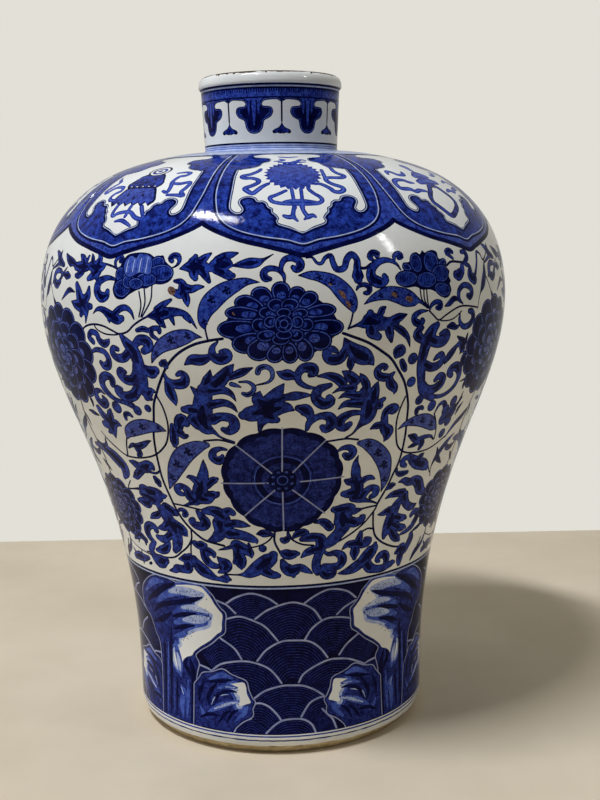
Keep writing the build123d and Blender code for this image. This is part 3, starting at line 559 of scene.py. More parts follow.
# Long seed pods: a brush stroke and its dark spots of angle, path length and radius
PODS = [
    ([(-14.4, 210.5, 1), (-14.8, 213.5, 4.5), (-14.3, 218, 7), (-13, 222, 8.6), (-10.8, 226, 8),
      (-8.2, 228.8, 6.2), (-5.6, 230.6, 3.6), (-2.9, 230.3, 0.4)],
     [(-12.9, 223, 1.6), (-9.7, 226.8, 1.6), (-5.5, 230.2, 1.1), (-14.5, 213.5, 1.3)]),
    ([(5.1, 232.9, 0.6), (7.2, 232.9, 3.6), (9.4, 232.2, 4.8), (12.2, 229.8, 6.6), (14.4, 225.4, 8),
      (15.8, 221.4, 7), (16.4, 218, 4), (16.4, 216.4, 1)],
     [(9.4, 231.8, 1.2), (12, 229.6, 1.4), (16, 220.6, 1.3)]),
    ([(18.8, 219.8, 0.5), (21, 222.4, 3.4), (24, 224, 6), (26.6, 223.2, 7.4), (29, 221.6, 8),
      (31, 220.4, 5.6), (32.4, 219.8, 2), (34.6, 216.6, 0.8)],
     [(22.6, 223.2, 1.2), (26.2, 223.2, 1.5), (29.6, 221.4, 1.6)]),
    ([(-27.6, 194.8, 0.6), (-26.6, 198.6, 3.6), (-24.6, 202.8, 6.4), (-21.4, 205.8, 8),
      (-18.4, 207.4, 6.4), (-16.4, 207.4, 2.4), (-15.2, 207, 0.5)],
     [(-22.2, 205.4, 1.7), (-18.4, 207.4, 1.4), (-26.2, 199, 1.1)]),
    ([(-41.8, 154.6, 1), (-40.2, 158.4, 6), (-36.8, 161.4, 8), (-33.2, 163, 7.4), (-30, 162.6, 5),
      (-28, 161.4, 1.2)], [(-38.8, 158.4, 1.5), (-35, 162.2, 1.7), (-29.8, 162.4, 1.2)]),
    ([(31.4, 159, 0.6), (33.6, 161.6, 3.4), (36.6, 162.4, 6), (39.6, 161.8, 7.4), (42.4, 159.6, 7),
      (44.4, 157, 4.6), (45.6, 155.6, 1)], [(35.4, 162.2, 1.2), (39, 161.8, 1.6), (43, 158.8, 1.5)]),
    ([(-17.5, 155.2, 3.3), (-20.2, 153.8, 6.8), (-24.3, 149.2, 9.4), (-27.5, 142.5, 8.8),
      (-29.9, 135.5, 5.5), (-31.8, 129.5, 0.7)], [(-27, 143.6, 2), (-23, 150.6, 2), (-29.8, 136, 1.6)]),
    ([(20.9, 154.2, 2.8), (23.4, 153, 6.3), (26.3, 149.2, 7.8), (29.1, 143.5, 8.4), (30.6, 137.5, 6.9),
      (31.2, 131.5, 4.7), (30.7, 125.8, 0.6)],
     [(23.6, 152.8, 1.7), (27, 147.4, 2), (29.8, 140.4, 2), (31, 132.4, 1.4)]),
]

# Single brush dabs: angle, path length and radius
DABS = [(-34.8, 170.8, 2.6), (-41.6, 171.2, 3.2), (-31.4, 172.4, 2), (31.5, 194.2, 2.8),
        (32.2, 183, 2.6), (41, 169, 2.9), (36, 173.2, 2.6), (50, 169, 3), (47.4, 165, 3),
        (50.6, 163.6, 4), (47.6, 160.4, 3.4), (50.4, 158.6, 3), (49.6, 152, 2.6), (-5, 100.2, 2),
        (-21.6, 227, 1.6)]

# Thin stems: the width of the brush line, then its places
STEMS = [
    (1.3, [(-10.8, 206.5), (-14, 205.5), (-17.5, 203.5), (-21, 199.5), (-24, 193.5), (-26.5, 185.5),
           (-28, 180), (-29.3, 175), (-30.5, 167), (-32, 158), (-32.8, 150), (-33.2, 143), (-33.4, 136),
           (-33, 130), (-32.2, 124), (-31.5, 119.5), (-30, 114), (-28, 109.5), (-25.4, 105.5),
           (-22.8, 103), (-17, 101)]),
    (1.3, [(14.2, 207.8), (16.5, 206), (20, 203), (23.5, 198.5), (25.8, 195), (27.8, 190), (30, 184),
           (31.5, 178), (32.8, 171), (33.6, 163), (34.4, 155), (34.8, 146), (34.6, 140), (33.6, 134),
           (32.6, 128), (30.6, 120.5), (30.1, 118.4)]),
    (1, [(-28, 179), (-27, 173), (-26.8, 165), (-27.8, 158), (-29.5, 153), (-33, 148), (-37, 145.5),
         (-42, 144.4), (-46, 145.6), (-52, 153)]),
    (1, [(31.4, 176), (30.6, 170), (30.4, 164), (31, 158), (32.4, 151), (34.4, 147.2), (37, 145.2),
         (41, 144.4), (45, 144.8), (48, 146.4), (52, 149.6)]),
    (1, [(-48.2, 207), (-46, 209.8), (-43, 211.1), (-40, 210.6), (-37.4, 208.9), (-35.4, 207.5),
         (-33, 208.6), (-31, 211.8), (-28.4, 214.8), (-26, 216.6)]),
    (0.8, [(-42.8, 210.6), (-42, 208.8), (-39.6, 207.1), (-36.8, 206.9), (-34.8, 207.6)]),
    (1.1, [(-35, 235.4), (-37, 237), (-39.4, 238.2)]),
    (0.8, [(-29.5, 226.4), (-29, 220.5), (-29.6, 215.4)]),
    (0.8, [(-28.2, 227.8), (-28, 221.5), (-29.1, 215.4)]),
    (0.8, [(-26.3, 229), (-26.6, 222.5), (-28.8, 215.4)]),
    (0.9, [(-14.4, 210.5), (-14.1, 207), (-13.9, 205.5)]),
    (0.9, [(16.4, 217), (15.9, 212.5), (15.3, 209.5)]), (1, [(-41.6, 156), (-43, 151), (-44.2, 145)]),
    (0.9, [(42.8, 164.6), (44.6, 160), (46, 155), (46.6, 150)]),
    (1.4, [(17.6, 236), (19.4, 235.2), (21, 237)]),
    (1.2, [(41.2, 234.8), (43, 236.4), (46, 236), (47.6, 235.8)]),
    (0.8, [(32.6, 225), (33, 220.5), (34.8, 216.5)]), (0.8, [(33.6, 225), (33.7, 220.5), (34.8, 216.5)]),
    (0.8, [(34.4, 225), (34.5, 220.5), (34.9, 216.5)]),
    (0.9, [(35, 215.4), (36.4, 213), (38, 210.8), (40, 212.6), (42.4, 214.6), (45, 216), (48, 215.8),
           (52, 214.6)]), (0.7, [(38.6, 210.4), (41, 210.2), (43, 211), (45.6, 213.8)]),
    (1.1, [(-18, 157.3), (-14, 158), (-10.4, 156.4)]), (1.1, [(12, 156.2), (17, 157), (20.4, 156)]),
    (0.9, [(-8.8, 100.5), (-5.5, 102), (-3, 104.5), (-1.2, 108.2)]),
    (1.1, [(-1.1, 109.5), (-1.3, 104), (0, 99), (0.9, 96)]),
    (1, [(2.6, 110), (3.9, 105), (7, 102), (10.6, 101)]),
    (1, [(-27.5, 108), (-28, 103), (-30, 98.5), (-32.8, 95), (-36.1, 91.5), (-40.3, 90.2), (-44.5, 90.5),
         (-50, 90.5)]), (0.9, [(-28, 103), (-28.9, 97.5), (-29.3, 92), (-29.6, 86)]),
    (1, [(-32, 121.5), (-28, 121), (-24, 120), (-22, 119.6)]),
    (1.1, [(25, 118), (27.6, 118.4), (30, 118.6)]),
    (1.1, [(17, 101), (20, 102.8), (24, 106.6), (27, 110.6), (29.6, 116), (30.2, 118.6)]),
    (1.1, [(29.4, 115.4), (29.8, 111), (30.4, 106.6), (31.6, 102), (34, 98.4), (37, 95.6), (40.4, 93.4),
           (43.4, 92.4), (48, 92)]), (1.1, [(30.2, 106), (28.4, 106.6), (26, 105.2)]),
    (0.8, [(48, 135.2), (50, 130.6)]),
]

# Brown spots over pods and leaves, painted once at the front and not turned round with the scroll
BROWN_SPOTS = [
    [(13.4, 226, 0.8), (14, 224.8, 2.2), (14.6, 223.2, 1.6)],
    [(14.9, 221.8, 0.7), (15.4, 220, 1.9), (15.8, 218.4, 0.8)],
    [(-21.8, 227.2, 3.2), (-21.5, 226.5, 3.2)], [(-8.5, 217.6, 0.7), (-8.2, 216.8, 0.9)],
    [(11.4, 228.9, 0.9), (12, 228.5, 0.7)], [(25.5, 223.8, 1.6), (26.2, 223, 2)],
    [(29.1, 221.5, 1.8), (30, 220.8, 2.6)],
]

# Lotus flowers: petals of angle, path length, half width in degrees and half height; then silhouettes
TOP_FLOWER = [(1.4, 226.8, 1.9, 3.6), (-2.7, 225.2, 2, 3.2), (4.7, 225.2, 1.7, 3), (7.3, 223.2, 1.7, 3),
              (-5.8, 221.8, 2.3, 3.2), (10, 218, 2.7, 2.9), (-7, 217.5, 3.1, 3), (11.3, 210.5, 3, 3.8),
              (-8.4, 210.5, 3.4, 4), (9.5, 204.8, 2.3, 4.2), (-6.3, 204.2, 2.6, 4.2),
              (6.3, 200.5, 1.8, 4.5), (-3.4, 201.2, 2.5, 4.5), (-0.1, 199, 1.8, 3.3),
              (3.1, 199, 1.7, 3.7), (-1.5, 217.5, 1.8, 2.7), (0.3, 220.8, 1.8, 2.8),
              (3.2, 220.8, 1.9, 2.8), (5.4, 217, 1.6, 2.3), (-3.3, 212.2, 1.5, 3.2), (6.6, 212, 1.5, 3),
              (-2, 207.5, 1.8, 2.6), (4.4, 207.5, 1.6, 2.8), (1.2, 205.8, 1.9, 2.5),
              (-0.9, 213.5, 1.4, 2.7), (4.7, 213.2, 1.3, 2.8), (1.9, 217.4, 1.6, 2.2),
              (1.9, 207.9, 1.8, 2.2)]
TOP_SHAPE = [(1.5, 227), (-4, 225), (-7.5, 220), (-10, 214), (-10.4, 209), (-7, 202), (-3, 198),
             (2, 196.6), (7, 198.5), (11, 204), (13.4, 210), (11.6, 218), (8, 224), (4.6, 226.4)]
LEFT_LOTUS = [(-25.2, 239.2, 1.6, 2.6), (-24, 234.5, 2.6, 3.8), (-34.9, 233.8, 1.2, 3.2),
              (-34.2, 227.5, 2.2, 4), (-27.8, 231.6, 2.6, 3), (-32.3, 230.5, 1.8, 3.2),
              (-30.4, 229.8, 1.9, 2.6)]
LEFT_SHAPE = [(-35.7, 234.5), (-34.5, 239.5), (-33.2, 242.5), (-30.2, 243.5), (-27.7, 243),
              (-25.9, 241.2), (-24.2, 242.2), (-23.4, 239.5), (-21.9, 236.8), (-21.3, 234), (-22.1, 231),
              (-23.9, 229.5), (-26, 229.5), (-27.5, 227.8), (-29.3, 227.5), (-31.8, 225.2),
              (-33.7, 222.8), (-35.7, 223.2), (-36.7, 226.8), (-36.2, 231), (-35.7, 234.5)]
PALE_PETAL = [(-34, 236.8), (-33.7, 239.5), (-32.4, 241.8), (-30.8, 240.9), (-30.2, 242.7),
              (-28.3, 242.6), (-27, 240.6), (-26.7, 236.8), (-27.1, 233.8), (-29.6, 234.6), (-32, 232.7),
              (-33.4, 234), (-34, 236.8)]
RIGHT_LOTUS = [(29.4, 235.2, 0.9, 1.7), (40.3, 236.5, 0.9, 1.5), (32.2, 236.8, 1.6, 4.2),
               (36.6, 237, 2.2, 4.6), (28.9, 230, 2.4, 3.4), (39.2, 231.5, 2.3, 4), (39.6, 224, 2.1, 3),
               (34.7, 229, 2.8, 3.6)]
RIGHT_SHAPE = [(28.7, 237), (30.6, 237.5), (31.1, 240.2), (32.6, 241.5), (33.7, 240.5), (34.5, 242.2),
               (35.3, 241), (37.2, 242.2), (38.8, 241.2), (39, 238.2), (40.5, 238), (41.4, 236.2),
               (40.8, 234.2), (41.9, 232.5), (41.5, 230), (42, 228), (41.6, 226.5), (42, 223.8),
               (41.1, 221), (39.5, 220.5), (37.8, 222.5), (35.6, 224.5), (33.1, 224.8), (31.4, 226.2),
               (28.9, 226), (27, 227.8), (26.3, 230.5), (27.1, 232.5), (28.7, 233.2), (28.5, 235.2),
               (28.7, 237)]
TOP_CENTRE, LEFT_CENTRE, RIGHT_CENTRE = (1.9, 212.6), (-30, 234), (34.5, 231)
TOP_HEART = [(4.1, LINE), (3.7, LIGHT), (3.3, LINE), (1.9, LIGHT), (1.5, LINE)]
# Dots round that heart: number, reach, half size and the path length that gives their spacing
TOP_DOTS, TOP_DOT_REACH, TOP_DOT, TOP_DOT_LEVEL = 5, 2.5, 0.4, 212

# Petals: rims grown by millimetres, the heart, and the draw towards the middle of the flower
PETAL_RIMS = [(0.3, LINE), (-0.35, LIGHT), (-0.75, LINE)]
PETAL_HEART, PETAL_DRAW, PETAL_FREE = -1.0, 0.35, 6.0
# Hatching of a washed petal as parts of its size, and the dotted patch of a dark one
HATCH_STEP, HATCH_LOW, HATCH_HIGH, HATCH_WIDTH = 0.26, 0.4, 0.45, 0.3
PATCH_LEAST, PATCH_FAR, PATCH_IN, PATCH_DRAW = 2.2, 3, 0.3, 0.4
PATCH_WIDE, PATCH_TALL, PATCH_STEP, PATCH_DOT = 0.5, 0.44, 0.28, 0.36
# Pale petal of the left lotus: number, first angle and spacing of its upright brush lines
PALE_LINES, PALE_FIRST, PALE_STEP = 8, -33.2, 0.85

# Flowers at the sides: angle, path length, half width in degrees and half height
SIDE_FLOWERS = [(-58.0, 194.8, 13, 24.5), (-58.8, 114, 12, 16.5)]
# Their rings of petals: distance from the centre, number and size, as parts of the flower
SIDE_RINGS = [(0.76, 13, 0.25), (0.46, 9, 0.23), (0.2, 5, 0.19)]
SIDE_SHAPE, SIDE_INNER = 0.88, 0.6

# Round lotus seen from below: rings of radius, lobes, their depth and ink, from the rim inwards
DISC_CENTRE = (1.3, 136.6)
DISC_RINGS = [
    (27.1, 16, 0.9, LINE), (23.9, 24, 1.1, DISC), (14.2, 0, 0, LINE), (13.7, 0, 0, DISC),
    (12.9, 0, 0, LIGHT), (12.4, 0, 0, LINE), (9.3, 0, 0, DISC), (6.4, 0, 0, LINE),
]
# Beads round its heart: number, then reach, half sizes, points and ink of the dots of each bead
DISC_BEADS = [
    (16, [(7.8, 0.4, 0.4, 8, LINE)]),
    (8, [(4.6, 0.75, 0.6, 10, LIGHT), (4.4, 0.35, 0.3, 8, LINE)]),
]
DISC_HEART = [(2.5, LIGHT), (2.1, LINE)]
SPOKE_WIDTH = 0.7
SPOKES = [
    [(1.3, 164.5), (1.2, 141.5)], [(12, 157), (4, 140.7)], [(18, 136.7), (6, 135.6)],
    [(13.5, 117.8), (4, 131.3)], [(1.5, 110), (1.3, 130.2)], [(-9.6, 117.8), (-0.8, 131.4)],
    [(-15.3, 134.9), (-2.5, 135.3)], [(-10, 155.2), (-1.5, 140.5)],
]

# The scroll is painted three times round the body
SCROLL_TURNS = (-120, 0, 120)
# Dark edges left round the wash, and the body added to brush strokes, in millimetres
LEAF_EDGE, CURL_EDGE, DAB_EDGE, POD_EDGE = 0.5, 0.45, 0.5, 0.55
TOP_BODY, LEAF_BODY = 0.3, 0.6
# Seeds in a spot of a pod: number, turn, spread and half sizes as parts of the spot
SEEDS, SEED_TURN, SEED_SPREAD, SEED_WIDE, SEED_TALL = 7, 2.4, 0.42, 0.42, 0.36


def petal_flower(petals, centre, shape, heart=LINE):
    """Lotus petals over a dark silhouette: lighter rim, heart, and hatching or a paler dotted patch."""
    paint = [(shape, LINE)]
    for a, s, width, tall in petals:
        degree = degree_mm(s)
        wide = width * degree
        dx, dy = (centre[0] - a) * degree, centre[1] - s
        far = math.hypot(dx, dy)
        dx, dy = dx / max(far, 0.1), dy / max(far, 0.1)
        draw = PETAL_DRAW * max(0.0, far - PETAL_FREE)

        def petal(grow):
            """The petal's outline, drawn out towards the heart of the flower."""
            row = oval(a, s, wide + grow, tall + grow)
            inward = ((row[:, 0] - a) * degree * dx + (row[:, 1] - s) * dy) / max(wide, tall)
            return row + np.outer(np.maximum(0, inward) * draw, (dx / degree, dy))

        paint += [(petal(grow), ink) for grow, ink in PETAL_RIMS]
        if heart != LINE:
            paint.append((petal(PETAL_HEART), heart))
            for i in (-2, -1, 0, 1, 2):
                x = a + i * HATCH_STEP * wide / degree
                row = [(x, s - HATCH_LOW * tall), (x, s + HATCH_HIGH * tall)]
                paint.append((ribbon(lined(row, HATCH_WIDTH)), LINE))
        elif far > PATCH_FAR and min(wide, tall) > PATCH_LEAST:
            x = a + dx * (PATCH_IN * wide + draw * PATCH_DRAW) / degree
            y = s + dy * (PATCH_IN * tall + draw * PATCH_DRAW)
            paint.append((oval(x, y, wide * PATCH_WIDE, tall * PATCH_TALL), BORDER))
            for i in (-1, 0, 1):
                side = i * PATCH_STEP * min(wide, tall)
                paint.append((oval(x - dy * side / degree, y + dx * side, PATCH_DOT, PATCH_DOT, 8), LINE))
    return [(p, ink) for p, ink in paint if p is not None and len(p) > 2]


def side_flower(angle, path, wide, tall):
    """A lotus seen from the front, the outer ring of petals first."""
    petals = []
    for reach, count, size in SIDE_RINGS:
        for i in range(count):
            turn = math.tau * (i + 0.5 * (reach < SIDE_INNER)) / count
            x, y = angle + math.sin(turn) * wide * reach, path + math.cos(turn) * tall * reach
            petals.append((x, y, wide * size, tall * size))
    shape = oval(angle, path, wide * SIDE_SHAPE * degree_mm(path), tall * SIDE_SHAPE, 48)
    return petal_flower(petals, (angle, path), shape)


def disc_flower():
    """Round lotus with spokes over rings of stippled wash and a beaded heart."""
    a, s = DISC_CENTRE
    turns = np.linspace(0, math.tau, 144, endpoint=False)
    paint = []
    for radius, lobes, depth, ink in DISC_RINGS:
        reach = radius + depth * np.abs(np.sin(turns * lobes / 2))
        row = np.stack([a + reach * np.cos(turns) / degree_mm(s), s + reach * np.sin(turns)], 1)
        paint.append((row, ink))
    for row in SPOKES:
        paint.append((ribbon(lined(row, SPOKE_WIDTH)), FOAM))
    for count, dots in DISC_BEADS:
        for i in range(count):
            for reach, wide, tall, points, ink in dots:
                place = round_place(a, s, reach, math.tau * (i + 0.5) / count)
                paint.append((oval(*place, wide, tall, points), ink))
    for radius, ink in DISC_HEART:
        paint.append((oval(a, s, radius, radius), ink))
    return paint


def fuller(strokes, extra):
    """Brush strokes with more body; their thin tips stay thin."""
    return [[(a, s, w + extra * min(1.0, w / 2)) for a, s, w in stroke] for stroke in strokes]


def top_flower():
    """The lotus at the front with its ringed and dotted heart."""
    paint = petal_flower(TOP_FLOWER, TOP_CENTRE, curve(TOP_SHAPE + TOP_SHAPE[:1]))
    for radius, ink in TOP_HEART:
        paint.append((oval(*TOP_CENTRE, radius, radius), ink))
    for i in range(TOP_DOTS):
        turn = math.tau * i / TOP_DOTS
        a = TOP_CENTRE[0] + TOP_DOT_REACH * math.cos(turn) / degree_mm(TOP_DOT_LEVEL)
        s = TOP_CENTRE[1] + TOP_DOT_REACH * math.sin(turn)
        paint.append((oval(a, s, TOP_DOT, TOP_DOT, 8), BORDER))
    return paint


def left_lotus():
    """The lotus at the upper left, with one pale petal of upright brush lines."""
    paint = petal_flower(LEFT_LOTUS, LEFT_CENTRE, curve(LEFT_SHAPE), WASH)
    paint.append((ribbon(lined(PALE_PETAL, 0.9)), LINE))
    paint.append((curve(PALE_PETAL), LIGHT))
    for i in range(PALE_LINES):
        a = PALE_FIRST + PALE_STEP * i
        row = [(a, 234.8, 0.4), (a + 0.15, 238.4, 0.4), (a + 0.3, 240.0 + 0.25 * i, 0.25)]
        paint.append((ribbon(row), RIBBON if i % 2 else PALE))
    return paint


def scroll_paint():
    """The lotus scroll: stems, leaves, dabs, pods and flowers, and the brown spots over all."""
    paint = [(ribbon(lined(row, width)), LINE) for width, row in STEMS]
    for stroke, _ in PODS:
        paint.append((ribbon(stroke), LINE))
    leaves = fuller(TOP_LEAVES, TOP_BODY) + fuller(MIDDLE_LEAVES + LOWER_LEAVES + SIDE_LEAVES, LEAF_BODY)
    paint_strokes(paint, leaves, LEAF_EDGE)
    paint_strokes(paint, PALE_CURLS, CURL_EDGE, LIGHT)
    for a, s, radius in DABS:
        paint.append((oval(a, s, radius, radius), LINE))
        paint.append((oval(a, s, radius - DAB_EDGE, radius - DAB_EDGE), WASH))
    for stroke, spots in PODS:
        paint.append((ribbon(stroke, POD_EDGE), BORDER))
        for a, s, size in spots:
            for i in range(SEEDS):
                place = round_place(a, s, size * SEED_SPREAD * math.sqrt(i), i * SEED_TURN)
                paint.append((oval(*place, size * SEED_WIDE, size * SEED_TALL, 9), LINE))
    paint += top_flower() + left_lotus()
    paint += petal_flower(RIGHT_LOTUS, RIGHT_CENTRE, curve(RIGHT_SHAPE), WASH)
    for flower in SIDE_FLOWERS:
        paint += side_flower(*flower)
    paint = turned_copies(paint + disc_flower(), SCROLL_TURNS)
    # Brown spots over pods and leaves, painted once at the front
    return paint + [(ribbon(stroke), STAIN) for stroke in BROWN_SPOTS]


# Lotus lappets of the shoulder: half outlines of angle from the middle and path length
LAPPET_PITCH, LAPPET_FIRST, LAPPET_TOP = 45.0, 6.5, 316.5
LAPPET_EDGE = [(0, 241.5), (3.5, 243.3), (8.5, 246), (13.5, 248.6), (18.5, 252.5), (21.6, 255.7),
               (22.5, 257.2)]
LAPPET_LINE = [(0, 246.6), (3.5, 248.5), (8.5, 250.1), (13.5, 252.8), (17, 256.4), (19, 261),
               (19.9, 266), (20.7, 273), (21, 280), (21.1, 290), (21.15, 300), (21.15, 316)]
LAPPET_CLOUD = [(0, 252.2), (2.6, 254.6), (5.2, 256.6), (5, 258.8), (5.7, 261), (6.3, 262), (6.4, 264),
                (7.3, 265.2), (7.7, 267.2), (8.8, 268.6), (9.9, 268.6), (10.5, 270.4), (11.8, 271.4),
                (13.2, 271.3), (14.5, 269.8), (14.8, 267.4), (14.1, 265), (13.7, 263.6), (14.2, 262.3),
                (15.3, 262.7), (16.2, 264.6)]
LAPPET_SIDE = [(16.4, 268.5), (16.4, 276), (16.6, 285), (16.5, 291.4)]
LAPPET_HEAD = [(15.2, 292.2), (12.2, 293.6), (10.2, 296), (9.2, 299.6), (7.4, 301), (6.6, 303.6),
               (7.2, 307), (9.4, 308.4), (12.6, 309.6), (13.6, 312), (11, 314.4), (6, 315.2), (0, 315.4)]
EDGE_WIDTH, LINE_WIDTH, PALE_WIDTH = 2.2, 2.8, 0.5
# Lines round the window, the outer one first; those of the head are thinner and leave its top bare
WINDOW_LINES = [(4.0, LINE), (1.7, PALE), (0.9, LINE)]
HEAD_THINNER, HEAD_BARE = 0.6, 4

# Emblems: ribbons of angle from the lappet's middle, path length and width
WHEEL_CENTRE, WHEEL_DISC = (-0.4, 287.5), (10.9, 10.7)
WHEEL_POINTS, WHEEL_REACH, WHEEL_NOTCH, WHEEL_TALL = 52, 12.9, 11.2, 0.98
WHEEL_RIBBONS = [
    [(-7.5, 279.5, 1.4), (-9, 277.5, 1.6), (-10.5, 274.5, 1.8), (-11.5, 273, 1.8), (-13, 275, 1.8),
     (-13.5, 276.5, 1.8), (-11.5, 278.5, 1.7), (-10.2, 280.5, 1.7), (-10.3, 282.5, 1.7), (-12, 284, 1.7),
     (-14.2, 284.2, 1.8), (-14.8, 286, 1.8), (-12.5, 287.5, 1.7), (-10.3, 290.5, 1.6),
     (-9.8, 292.5, 1.2)],
    [(5, 279, 1.4), (6.5, 278.8, 1.5), (8.5, 276, 1.7), (9.5, 273.6, 1.8), (11, 273.2, 1.8),
     (12.2, 274.6, 1.8), (12, 276.5, 1.7), (10, 278.5, 1.7), (8.8, 280.5, 1.7), (8.5, 282.5, 1.7),
     (9.5, 283.7, 1.7), (12, 283.6, 1.7), (13.8, 283.8, 1.8), (14.5, 285.5, 1.8), (13, 287.5, 1.7),
     (12.2, 290, 1.6), (12.1, 293, 1.4), (11, 295.5, 1)], [(8.5, 284, 1.4), (8.7, 291, 1.2)],
    [(-1.5, 275.5, 1.2), (-1.2, 264, 1.2)], [(0.9, 275.5, 1.2), (0.7, 264, 1.2)],
    [(-3, 274.5, 1.2), (-5.5, 271.8, 1.4), (-7, 270.3, 1.5), (-6.5, 268, 1.5), (-4.5, 266.8, 1.5),
     (-1.5, 266.3, 1.5), (1.5, 266.2, 1.5), (4.5, 266.6, 1.5), (5.7, 268.3, 1.5), (5.2, 270.5, 1.5),
     (4, 272.5, 1.4), (3, 275, 1.4), (2.8, 277, 1)],
    [(-4.5, 266.5, 1.2), (-2.5, 268, 1.4), (1.5, 268, 1.4), (4.5, 266.8, 1.2)],
    [(-1.3, 265, 1.4), (-1.7, 262, 1.4), (-1.9, 259.5, 1.6)],
    [(-1.8, 259.5, 1.8), (-3, 259.3, 1.6), (-3.9, 260, 1.2)], [(-1.8, 259.3, 1.4), (-0.9, 257.3, 0.8)],
    [(0.4, 265, 1.4), (0.8, 262, 1.4), (1.5, 259.5, 1.6)],
    [(1.5, 259.2, 1.8), (2.7, 260, 1.6), (3.3, 259.2, 1)], [(1.3, 259, 1.2), (0.7, 258, 0.8)],
    [(-5.5, 302, 0.8), (-3.5, 302.5, 1.4), (-2, 304, 1.4), (-3.5, 305.4, 1)],
    [(0.5, 301, 0.8), (2.5, 302, 1.4), (4, 304, 1.4), (5.5, 303, 1)],
    [(-3.5, 309.5, 1), (-1.5, 308.5, 1.4), (0.5, 308.5, 1.4), (3.5, 309.5, 1)],
    [(-4, 300.5, 1), (0, 299.8, 1.6), (5, 300.6, 1)],
]
# Tiers of the canopy: foot, top, half width in degrees and ink; then its knob, ring by ring
CANOPY_TIERS = [(266.6, 279.6, 7.6, BORDER), (278.2, 290.4, 6.6, WASH)]
CANOPY_SPOTS = [(-3, 7.4), (2.6, 7), (0, 5)]
FRILLS, FRILL_DEPTH, TIER_INSIDE = 12, 2.2, (0.9, 0.82)
KNOB_CENTRE = (0.2, 293.4)
KNOB_RINGS = [(6.4, 5.0, LINE), (5.3, 4.1, GLAZE), (4.2, 3.2, WASH), (2.6, 2.0, GLAZE), (1.4, 1.0, WASH)]
CANOPY_STRINGS = [
    [(-4, 267.5, 1.6), (-4.3, 263, 1.6), (-3.5, 261.5, 1.6), (-2, 263, 1.5), (1.5, 263.5, 1.5),
     (4, 260.5, 1.6), (6, 259.5, 1.6), (6.5, 261, 1.2)], [(1, 267, 1.5), (0.7, 261, 1.4)],
    [(4.5, 266.5, 1.6), (6, 262, 1.5)], [(-2, 258.5, 1), (0, 259, 1.5), (2, 257.5, 1.4), (3.5, 256, 1)],
    [(8.5, 276, 1.2), (10, 275, 1.5), (10.1, 279, 1.6), (9.5, 283, 1.6), (10.5, 287, 1.6),
     (12.5, 288, 1.6), (13.2, 290, 1.6), (11.5, 291, 1.4), (8.5, 290.5, 1)],
    [(10, 281.5, 1.4), (12.5, 281, 1.6), (15, 282, 1.6), (15.6, 280.6, 1.6), (15, 277.5, 1.6),
     (14.3, 275, 1.6), (15.4, 272.5, 1.6), (13.5, 273, 1.5), (10.5, 273.3, 1.2)],
    [(-6.5, 270.5, 1.2), (-9, 271, 1.6), (-9.8, 273, 1.6), (-9, 275.5, 1.6), (-7.5, 277, 1.6),
     (-8, 279.5, 1.6), (-10.5, 280, 1.6), (-12.5, 278.5, 1.6), (-14, 276, 1.6), (-15.2, 277.5, 1.6),
     (-13.5, 281.5, 1.6), (-12.7, 284, 1.5), (-14.2, 286, 1.4), (-15.2, 288, 1)],
]
JAR_LINES = [(3.0, LINE), (1.9, WASH)]
JAR = [(-4, 262), (-5.5, 265), (-6.2, 267), (-5.5, 270.5), (-3.5, 274), (-1.5, 277.5), (1.5, 277),
       (3, 273.5), (4.5, 268.5), (3.7, 264.5), (1.5, 261.5), (-1.5, 258.8), (-3, 260), (-4, 262)]
JAR_RIBBONS = [
    [(-5.5, 273.6, 1.2), (-8, 274.3, 1.8), (-10, 273.4, 1.8), (-11.5, 275, 2), (-14.5, 275.5, 2),
     (-15.2, 277.5, 2), (-15, 280.5, 2), (-13.5, 282, 2), (-11, 281.8, 1.8), (-9.5, 280.3, 1.8),
     (-7.7, 279.6, 1)],
    [(-14.4, 287, 1.2), (-13.6, 289.5, 1.8), (-12, 289, 1.8), (-10.5, 286.5, 1.8), (-8, 286.5, 1.8),
     (-7, 289, 1.4)],
    [(5.5, 273.6, 1.2), (8, 274.6, 1.8), (10, 273.4, 1.8), (12, 275.4, 2), (14.6, 276, 2), (15, 279, 2),
     (12.4, 281.6, 1.8), (9.6, 280.6, 1.2)],
    [(14, 288, 1.2), (12.6, 290, 1.8), (10.6, 287, 1.8), (8, 286.6, 1.6)],
    [(-4.6, 280.4, 2.6), (0, 281.6, 4.4), (4.6, 280.4, 2.6)],
    [(-3.4, 285.4, 2.4), (0, 287, 4.4), (3.4, 285.4, 2.4)], [(0, 290, 1.8), (0, 296, 3.6)],
]
RIBBON_OUTER, RIBBON_INNER = 1.45, 0.5
# The emblem on each lappet: wheel 0, jar 1, canopy 2
LAPPET_EMBLEMS = (0, 1, 2, 0, 1, 2, 0, 2)
# Rings on the flat collar between the lappets and the neck
COLLAR_RINGS = [
    (LAPPET_TOP - 0.3, BODY_END + 1, PALE), (LAPPET_TOP - 0.2, LAPPET_TOP + 1.6, LINE),
    (324.4, 325.2, LIGHT), (331.0, 331.6, LIGHT),
]


def both(half):
    """A half outline and its mirror as one run from right to left."""
    return list(reversed(half)) + [(-a, s) for a, s in half[1:]]


